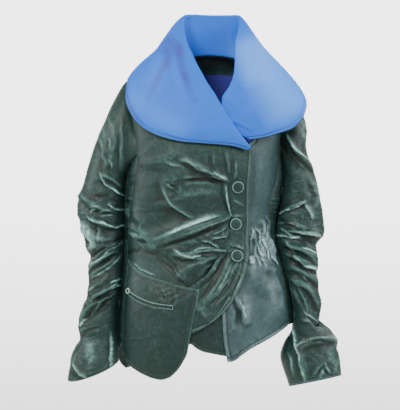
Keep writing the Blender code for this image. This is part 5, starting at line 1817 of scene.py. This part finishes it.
def underlap_cloth():
    sides = [(UNDERLAP_TOP[end], UNDERLAP_HEM[end]) for end in (0, -1)]
    edges = [front(edge) for edge in (UNDERLAP_TOP, UNDERLAP_HEM, *sides)]
    sew_panel("underlap", patch(*edges, *GRIDS["underlap"]))


# How far each side panel stands out towards the sleeve that hangs against it: level and push
SIDE_PUSH_RIGHT = (
    (-740, 14), (-700, 10), (-620, 10.5), (-580, 10), (-540, 7), (-500, 5), (-460, 4), (-420, 6),
    (-380, 6.5), (-340, 7.5), (-300, 9), (-240, 9), (-200, 0),
)
SIDE_PUSH_LEFT = (
    (-620, 8), (-580, 12), (-545, 10), (-520, 9), (-480, 7), (-450, 5), (-420, 1.5), (-380, 4), (-340, 10),
    (-300, 14), (-260, 15), (-225, 10), (-190, 0),
)
SIDE_PUSH_POWER = 0.7


def side_cloth(name, front_edge, back_edge, armhole, side, hem_level, pushes):
    """A side panel from below the armhole to the hem, pushed out towards the sleeve."""
    underarm = armhole_edge(armhole)[UNDERARM_ROW, 1] - UNDERARM_DROP
    front_edge = below(front_edge, underarm + UNDERARM_RISE)
    back_edge = below(back_edge, underarm + UNDERARM_RISE)
    top = np.array([front_edge[0], (90.0 * side, underarm), back_edge[0]])
    bottom = np.array([front_edge[-1], (90.0 * side, hem_level), back_edge[-1]])
    net = patch(top, bottom, front_edge, back_edge, *GRIDS["side"])
    across, _ = shares_of(net)
    push = np.interp(net[..., 1], *np.transpose(pushes)) * np.sin(np.pi * across) ** SIDE_PUSH_POWER
    settled = (SHOULDER_LAYER - LAYER[PANELS[name][0]]) * across
    sew_panel(name, net, settled + push, turned=side < 0)


def back_cloth():
    rows = COLLAR[LEFT_SHOULDER_ROW:RIGHT_SHOULDER_ROW:-1]
    neck = find_on_form(column(rows, COLLAR_COLUMNS, "neck_x"), column(rows, COLLAR_COLUMNS, "neck_z"), True)
    to_left_tip, to_right_tip = shoulder_seam(90, False), shoulder_seam(270, False)
    top = np.concatenate([to_left_tip[:1], neck[1:], to_right_tip[:1]])
    right = np.concatenate([to_right_tip, RIGHT_BACK_EDGE])
    left = np.concatenate([to_left_tip, LEFT_BACK_EDGE])
    sew_panel("back", patch(top, behind(BACK_HEM), left, right, *GRIDS["back"]))


# Every tube of cloth, on the wearer's right or left
TUBE_COLUMNS = ("rings", "side", "seed", "folds", "creases", "patches", "glints")
TUBES = {
    "sleeve_right": (
        SLEEVE_RIGHT, -1, 33,
        FOLDS_SLEEVE_RIGHT, FINE_SLEEVE_RIGHT, PATCHES_SLEEVE_RIGHT, GLINTS_SLEEVE_RIGHT,
    ),
    "sleeve_left": (
        SLEEVE_LEFT, 1, 47,
        FOLDS_SLEEVE_LEFT, FINE_SLEEVE_LEFT, PATCHES_SLEEVE_LEFT, GLINTS_SLEEVE_LEFT,
    ),
    "cuff_right": (CUFF_RIGHT, -1, 55, FOLDS_CUFF_RIGHT, FINE_CUFF_RIGHT, PATCHES_CUFF, GLINTS_CUFF),
    "cuff_left": (CUFF_LEFT, 1, 65, FOLDS_CUFF_LEFT, FINE_CUFF_LEFT, PATCHES_CUFF, GLINTS_CUFF),
}
HIDDEN_LIGHT = 0.8
TUBE_SHARPNESS = 0.9
COLLAR_SHARPNESS = 1.4
LEAST_FREE = 0.12
END_FADE = 0.05


def facing_front(normals, sharpness):
    """1 on the side that shows from the front and 0 on the hidden one."""
    return ease(0.5 - sharpness * normals[..., 1])


def tube_height(tube_row, x, z, crinkle_z, seed):
    """How far a tube's folds, creases and crinkles raise it."""
    raised = fold_height(tube_row["folds"], x, z) + crease_height(tube_row["creases"], x, z)
    return raised + patch_height(tube_row["patches"], x, crinkle_z, seed)


def tube_relief(points, tube_row):
    """A tube raised by its folds and crinkles all round, its normals, painted shading and painted glints."""
    side, seed, bright = tube_row["side"], tube_row["seed"], tube_row["glints"]
    normals = grid_normals(points, closed=True) * -side
    x, z = points[..., 0], points[..., 2]
    facing = facing_front(normals, TUBE_SHARPNESS)
    middle = (x.max(axis=1) + x.min(axis=1))[:, None] / 2
    mirrored, lowered = 2 * middle - x, z + HIDDEN_SIDE_SHIFT
    in_front = tube_height(tube_row, x, z, z, seed) + CREASE_RISE * crease_height(bright, x, z)
    at_back = tube_height(tube_row, mirrored, lowered, z, seed + 20)
    relief = held_up(in_front * facing + at_back * (1 - facing), TUBE_DEPTH)
    inside = np.clip(side * (x - middle) / FREE_OF_BODY + 1, LEAST_FREE, 1)
    rows = np.arange(len(points))
    relief = relief * inside * ease(np.minimum(rows, rows[::-1]) / (END_FADE * len(rows)))[:, None]
    glint = glints(bright, x, z, seed) * facing
    glint = glint + HIDDEN_LIGHT * glints(bright, mirrored, lowered, seed) * (1 - facing)
    # Crests painted lighter and hollows darker
    return points + normals * relief[..., None], normals, crests(relief, closed=True), glint


SLEEVE_HEAD_SHARE = 0.22


def sleeve_cloth(name, armhole):
    """A sleeve that starts as its armhole's ring and takes up its own rings below."""
    tube_row = dict(zip(TUBE_COLUMNS, TUBES[name]))
    around, down = GRIDS["sleeve"]
    side = tube_row["side"]
    points = tube_points(tube_row["rings"], around, down)
    ring = armhole_ring(armhole, around) + np.array([side * SEAM_GAP, 0.0, 0.0])
    share = ease(np.arange(down + 1) / (down * SLEEVE_HEAD_SHARE))[:, None, None]
    points, normals, nap, glint = tube_relief(ring[None] * (1 - share) + points * share, tube_row)
    cloths, turned = [GREEN, LINING], side > 0
    piece = shell(f"{name}_cloth", points, normals, cloths, nap, glint, closed=True, turned=turned)
    declare(piece, name, points, closed=True)


# Cuffs: the hem's stitch line and cord, and the row where the left one's silk facing starts
CUFF_STITCH = 8.0
CUFF_CORD = 1.6
CUFF_CORD_SEAT = 1.0
# The hem cord is painted lighter, as a highlight
CUFF_CORD_HIGHLIGHT = 0.85
CUFF_FACING_START = 25


def cuff_cloth(name, seam):
    """A flared cuff; its points, normals and painted shading are given back for its facing."""
    tube_row = dict(zip(TUBE_COLUMNS, TUBES[name]))
    points, normals, nap, glint = tube_relief(tube_points(tube_row["rings"], *GRIDS["cuff"]), tube_row)
    points = points - np.array([0.0, 0.0, seam])
    # A painted highlight along the hem
    nap = np.clip(nap + EDGE_LIGHT * bell(run_from(points, "bottom"), EDGE_LIGHT_WIDTH), -1, 1)
    turned = tube_row["side"] > 0
    piece = shell(f"{name}_cloth", points, normals, [GREEN, LINING], nap, glint, closed=True, turned=turned)
    line, out = line_on(points, normals, "bottom", CUFF_STITCH)
    sewn = stitches(f"{name}_stitches", [(line + out * STITCH_RISE, out)], THREAD)
    hem = points[-1] - normals[-1] * CUFF_CORD_SEAT
    hem = np.concatenate([hem, hem[:1]])
    edge = tube(f"{name}_edge", hem, CUFF_CORD, GREEN, "velvet", nap=CUFF_CORD_HIGHLIGHT)
    declare(piece, name, points, closed=True)
    return points[CUFF_FACING_START:], normals[CUFF_FACING_START:], nap[CUFF_FACING_START:]


def cuff_facing(points, normals, nap):
    """The silk inside the left cuff's lower part."""
    inside = points - normals * (WALL + SEAM_GAP)
    name, nap, plain = "cuff_lining_left", nap * LINING_SHADING, 0 * nap
    ways = {"wall": SILK_WALL, "closed": True, "turned": True}
    piece = shell(f"{name}_cloth", inside, normals, [LINING], nap, plain, **ways)
    declare(piece, name, inside, closed=True)


# The collar in wear: how far it is lifted behind the neck and each lobe drawn in, and over which heights
COLLAR_LIFT = 15.0
COLLAR_DRAW_RIGHT = 15.0
COLLAR_DRAW_LEFT = 7.0
DRAW_LEVEL, DRAW_REACH = 66, 40
DRAW_START, DRAW_RUN = 60, 50
LIFT_LEVEL, LIFT_RUN = 84, 62
COLLAR_STITCH = 8.5
COLLAR_GROOVE, COLLAR_GROOVE_WIDTH = 0.9, 2.0
# The stitch groove is painted violet and darker, as shade
GROOVE_VIOLET_SHADE = 0.25
GROOVE_SHADE = 0.55
PUCKER, PUCKER_PLACE, PUCKER_WIDTH, PUCKER_PITCH = 0.5, 4.5, 4.0, 2.6
FLAT_NEAR_NECK = 30.0
# The rim's cord and the under collar's: place out, place in, radius and painted shade
RIM_OUT, RIM_SEAT, RIM_RADIUS, RIM_CORD_SHADE = 0.8, 1.2, 1.3, -0.4
UNDER_SEAT, UNDER_RADIUS, UNDER_CORD_SHADE = 0.6, 1.5, -0.2


def lifted(points):
    """The collar as it stands in wear: taller behind the neck, its lobes falling straighter from there."""
    x, z = points[..., 0], points[..., 2]
    draw = np.where(x < 0, COLLAR_DRAW_RIGHT, -COLLAR_DRAW_LEFT)
    moved = points.copy()
    moved[..., 0] = x + draw * bell(z - DRAW_LEVEL, DRAW_REACH) * ease((np.abs(x) - DRAW_START) / DRAW_RUN)
    moved[..., 2] = z + COLLAR_LIFT * ease((z - LIFT_LEVEL) / LIFT_RUN)
    return moved


def collar_relief(points, normals):
    """How far the collar's folds, stitch line and puckers raise it, its painted violet shade and its painted
    light.
    """
    x, z = points[..., 0], points[..., 2]
    in_front = facing_front(normals, COLLAR_SHARPNESS)
    run = run_from(points, "bottom")
    groove = bell(run - COLLAR_STITCH, COLLAR_GROOVE_WIDTH)
    pucker = PUCKER * np.sin(run_from(points, "left") / PUCKER_PITCH)
    pucker = pucker * bell(run - PUCKER_PLACE, PUCKER_WIDTH)
    relief = fold_height(COLLAR_FOLDS, x, z) * in_front + patch_height(PATCHES_COLLAR, x, z, 80)
    relief = (relief - COLLAR_GROOVE * groove + pucker) * ease(run_from(points, "top") / FLAT_NEAR_NECK)
    violet = np.clip(fold_height(PAINTED_VIOLET_SHADE, x, z) * in_front + GROOVE_VIOLET_SHADE * groove, -1, 1)
    light = np.clip(fold_height(GLINTS_COLLAR, x, z), 0, 1) * in_front - GROOVE_SHADE * groove
    return relief, violet, light


def collar_cloth():
    """The collar's silk side with its stitch line and rim; its points and normals are given back."""
    points = lifted(collar_points(*GRIDS["collar"]))
    normals = -grid_normals(points, closed=False)
    relief, nap, glint = collar_relief(points, normals)
    points = points + normals * relief[..., None]
    piece = shell("collar_cloth", points, normals, [BLUE], nap, glint, wall=SILK_WALL, turned=True)
    line, out = line_on(points, normals, "bottom", COLLAR_STITCH)
    sewn = stitches("collar_stitches", [(line + out * STITCH_RISE, out)], BLUE_THREAD)
    path = points[-1] + unit(points[-1] - points[-3]) * RIM_OUT - normals[-1] * RIM_SEAT
    rim = tube("collar_edge", path, RIM_RADIUS, GREEN, "velvet", nap=RIM_CORD_SHADE)
    declare(piece, "collar", points)
    return points, normals


def under_collar_cloth(points, normals):
    """The velvet side of the collar, under the silk, with the cord along its edge."""
    path = points[-1] - normals[-1] * (SILK_WALL + UNDER_SEAT)
    points, normals = (points - normals * (SILK_WALL + SEAM_GAP))[:, ::2], normals[:, ::2]
    plain = np.zeros(points.shape[:2])
    piece = shell("under_collar_cloth", points, normals, [GREEN], plain, plain, wall=SILK_WALL, turned=True)
    edge = tube("collar_edge", path, UNDER_RADIUS, GREEN, "velvet", nap=UNDER_CORD_SHADE)
    declare(piece, "under_collar", points)


def pocket_surface(grid, span=(0.0, 1.0), drop=(0.0, 1.0)):
    """The pocket's net and how far it swells, on all of it or on the part that a span and a drop give."""
    edges = [front(edge, LAYER["pocket"]) for edge in (POCKET_TOP, POCKET_BOTTOM, POCKET_LEFT, POCKET_RIGHT)]
    net = patch(*edges, *grid, span, drop)
    share = np.linspace(*span, net.shape[1])[None, :]
    fall = np.linspace(*drop, net.shape[0])[:, None]
    return net, POCKET_SWELL * np.sin(np.pi * share) * np.sin(np.pi * fall**SWELL_POWER)


# The slit and its welt as they are worn, a little further round than on the flat pocket
SLIT_SPAN = (0.23, 0.79)
SLIT_PLACE, SLIT_WIDTH, SLIT_DEPTH, SLIT_END = 0.265, 0.012, 1.2, 0.03
WORN_WELT_SPAN = (0.24, 0.79)
WELT_RISE = 2.6
LIP_RISE, LIP_PLACE, LIP_WIDTH = 0.9, 0.62, 0.3
MOUTH_DEPTH, MOUTH_WIDTH = 1.0, 0.16


def pocket_cloth():
    net, swell = pocket_surface(GRIDS["pocket"])
    across, down = shares_of(net)
    slit = ease((across - SLIT_SPAN[0]) / SLIT_END) * ease((SLIT_SPAN[1] - across) / SLIT_END)
    sew_panel("pocket", net, swell - SLIT_DEPTH * slit * bell(down - SLIT_PLACE, SLIT_WIDTH))


def welt_cloth():
    net, swell = pocket_surface(GRIDS["pocket_welt"], WORN_WELT_SPAN, WELT_DROP)
    fall = np.linspace(-1, 1, net.shape[0])[:, None]
    lips = LIP_RISE * bell(np.abs(fall) - LIP_PLACE, LIP_WIDTH) - MOUTH_DEPTH * bell(fall, MOUTH_WIDTH)
    sew_panel("pocket_welt", net, swell + WELT_RISE + lips)


def disc_axes(normal):
    """Two directions across a disc that lies on the cloth."""
    aside = unit(np.cross(normal, np.array([0.0, 0.0, 1.0])))
    return aside, np.cross(aside, normal)


# A button's section from its middle out and under: reach and rise as shares
BUTTON_PROFILE = (
    (0.0, 1.0), (0.25, 0.99), (0.45, 0.95), (0.62, 0.88), (0.74, 0.80), (0.78, 0.70), (0.82, 0.70),
    (0.88, 0.80), (0.94, 0.72), (0.99, 0.50), (1.0, 0.28), (0.93, 0.02), (0.0, 0.0),
)
BUTTON_STEPS = 56
BUTTON_RING = (0.84, 0.97)
BUTTON_RING_LIGHT = 0.42
GATHERS, GATHER_DEPTH, GATHER_REACH = 18, 0.012, 0.9


def button_cloth(number, x, z):
    """A covered button with a pressed ring inside its rim and the cloth gathered towards its back."""
    turn, level = front(((x, z),), LAYER["band"])[0]
    normal = form_normal(turn, level)
    centre = form(turn, level) + normal * (LAYER["band"] + SEAM_GAP)
    aside, up = disc_axes(normal)
    angle = np.linspace(0, 2 * math.pi, BUTTON_STEPS, endpoint=False)[:, None]
    out = np.cos(angle) * aside + np.sin(angle) * up
    rings, light = [], []
    for reach, rise in BUTTON_PROFILE:
        gather = 1 + GATHER_DEPTH * np.cos(GATHERS * angle) * (reach > GATHER_REACH)
        rings.append(centre + out * reach * BUTTON_RADIUS * gather + normal * rise * BUTTON_HEIGHT)
        # The ring inside the rim is painted lighter, as a highlight
        on_ring = BUTTON_RING[0] < reach < BUTTON_RING[1]
        light.append(np.full(BUTTON_STEPS, BUTTON_RING_LIGHT * on_ring))
    faces = net_faces(len(BUTTON_PROFILE), BUTTON_STEPS, True)
    light = np.concatenate(light)
    points = np.concatenate(rings)
    piece = finish_mesh(f"button_{number}_cloth", points, faces, [GREEN], nap=light * 0.5, glint=light)
    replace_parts(on_root(piece), f"button_{number}")


# The stay ring: its place as shares across and down the pocket, its reach, thickness and painted light
RING_PLACE = (0.205, 0.262)
RING_REACH = 6.2
RING_THICK = 1.8
RING_LIGHT = 0.5
RING_HIGHLIGHT = 0.8
RING_SIDES = 8
RING_STEPS = 33


def pocket_ring_cloth():
    """The worked stay ring at the outer end of the welt."""
    net, swell = pocket_surface(GRIDS["pocket_ring"])
    row, place = int(RING_PLACE[1] * (net.shape[0] - 1)), int(RING_PLACE[0] * (net.shape[1] - 1))
    turn, level = net[row, place]
    normal = form_normal(turn, level)
    centre = form(turn, level) + normal * (LAYER["pocket"] + swell[row, place] + RING_THICK)
    aside, up = disc_axes(normal)
    angle = np.linspace(0, 2 * math.pi, RING_STEPS)[:, None]
    path = centre + (aside * np.cos(angle) + up * np.sin(angle)) * RING_REACH
    ring = tube("pocket_ring_thread", path, RING_THICK, THREAD, "velvet", RING_SIDES, RING_HIGHLIGHT, RING_LIGHT)
    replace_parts(ring, "pocket_ring")


# The room and the camera, in metres
CAMERA_DISTANCE = 3.5
CAMERA_CENTRE = (-0.0125, -0.05, -0.325)
CAMERA_LENS = 122.9
CAMERA_WIDTH = 36
WORLD_COLOUR, WORLD_GLOW = (0.80, 0.775, 0.765, 1), 0.55
FLOOR_LEVEL = -1.3
FLOOR_REACH = 2.2
FLOOR_STEPS = 96
FLOOR_LOOK = {"Base Color": (0.78, 0.76, 0.75, 1), "Roughness": 0.8}
WALL_PLACE = 7.0
WALL_GLOW = 3.8
WALL_COLOUR = (0.8, 0.8, 0.8, 1)
WALL_SHADE = (0.50, 0.48, 0.485)
WALL_TINT = (1.0, 0.985, 0.975)
WALL_FADE = 0.62
WALL_FADE_START = 1.18
WALL_REACH = 3.6
# Each light's place, aim, size, power and colour
LIGHTS = {
    "key": ((-1.2, -2.2, 1.6), (0, 0, -0.3), 1.0, 74, (1.0, 0.985, 0.96)),
    "fill": ((2.2, -1.6, 0.8), (0, 0, -0.3), 1.6, 46, (0.95, 0.98, 1.0)),
    "left": ((-2.4, -0.2, 0.3), (0, 0, -0.4), 1.0, 30, (1.0, 1.0, 1.0)),
    "right": ((2.4, 0.3, 0.9), (0, 0, -0.4), 1.0, 30, (1.0, 1.0, 1.0)),
}


def area_light(name, place, aim, size, power, colour):
    light = bpy.data.lights.new(name, "AREA")
    light.shape = "DISK"
    light.size = size
    light.energy = power
    light.color = colour
    lamp = bpy.data.objects.new(name, light)
    lamp.location = place
    direction = mathutils.Vector(aim) - mathutils.Vector(place)
    lamp.rotation_euler = direction.to_track_quat("-Z", "Y").to_euler()
    bpy.context.scene.collection.objects.link(lamp)


def floor():
    """A pale round floor well below the hem."""
    turn = np.linspace(0, 2 * math.pi, FLOOR_STEPS, endpoint=False)
    ring = np.stack([np.cos(turn), np.sin(turn), 0 * turn], axis=-1) * FLOOR_REACH
    ring[:, 2] = FLOOR_LEVEL
    pale, _, shader = new_material("pale_floor")
    set_inputs(shader, FLOOR_LOOK)
    finish_mesh("floor", ring / MM, [list(range(FLOOR_STEPS))], [pale])


def backdrop():
    """A pale wall far behind that glows by itself, its glow painted a little darker towards its foot."""
    pale, tree, shader = new_material("pale_wall")
    height = tree.nodes.new("ShaderNodeSeparateXYZ")
    tree.links.new(tree.nodes.new("ShaderNodeTexCoord").outputs["Object"], height.inputs[0])
    share = arithmetic(tree, "MULTIPLY_ADD", height.outputs[2], WALL_FADE, WALL_FADE_START)
    glow = ramp(tree, share, ((0.0, WALL_SHADE), (1.0, WALL_TINT)))
    tree.links.new(glow, shader.inputs["Emission Color"])
    set_inputs(shader, {"Base Color": WALL_COLOUR, "Emission Strength": WALL_GLOW})
    corners = ((-1, -1), (1, -1), (1, 1), (-1, 1))
    corners = np.array([(x * WALL_REACH, WALL_PLACE, z * WALL_REACH) for x, z in corners])
    finish_mesh("backdrop", corners / MM, [(0, 1, 2, 3)], [pale])


def studio():
    """A pale floor and wall, soft lights and the camera at the photograph's angle."""
    world = bpy.data.worlds.new("studio")
    world.use_nodes = True
    set_inputs(world.node_tree.nodes["Background"], {"Color": WORLD_COLOUR, "Strength": WORLD_GLOW})
    bpy.context.scene.world = world
    floor()
    backdrop()
    for name, light in LIGHTS.items():
        area_light(name, *light)
    camera = bpy.data.objects.new("camera", bpy.data.cameras.new("camera"))
    camera.data.lens = CAMERA_LENS
    camera.data.sensor_width = CAMERA_WIDTH
    camera.location = (CAMERA_CENTRE[0], CAMERA_CENTRE[1] - CAMERA_DISTANCE, CAMERA_CENTRE[2])
    camera.rotation_euler = (math.pi / 2, 0, 0)
    bpy.context.scene.collection.objects.link(camera)
    bpy.context.scene.camera = camera


SIDE_HEM_RIGHT = -705.0
SIDE_HEM_LEFT = -618.0
FULL_TURN = 360.0

studio()
underlap_cloth()
front_left_cloth()
button_band_cloth()
skirt_cloth()
front_right_cloth()
right_edge = np.concatenate([RIGHT_FRONT_EDGE, SIDE_OF_SKIRT[1:]])
right_back_edge = inset(RIGHT_BACK_EDGE, -FULL_TURN)
side_cloth("side_right", right_edge, right_back_edge, ARMHOLE_RIGHT, -1, SIDE_HEM_RIGHT, SIDE_PUSH_RIGHT)
side_cloth("side_left", LEFT_FRONT_EDGE, LEFT_BACK_EDGE, ARMHOLE_LEFT, 1, SIDE_HEM_LEFT, SIDE_PUSH_LEFT)
back_cloth()
sleeve_cloth("sleeve_right", ARMHOLE_RIGHT)
sleeve_cloth("sleeve_left", ARMHOLE_LEFT)
cuff_cloth("cuff_right", CUFF_SEAM_RIGHT)
cuff_facing(*cuff_cloth("cuff_left", CUFF_SEAM_LEFT))
under_collar_cloth(*collar_cloth())
pocket_cloth()
welt_cloth()
for number, (x, z) in enumerate(BUTTONS, start=1):
    button_cloth(number, x, z)
pocket_ring_cloth()
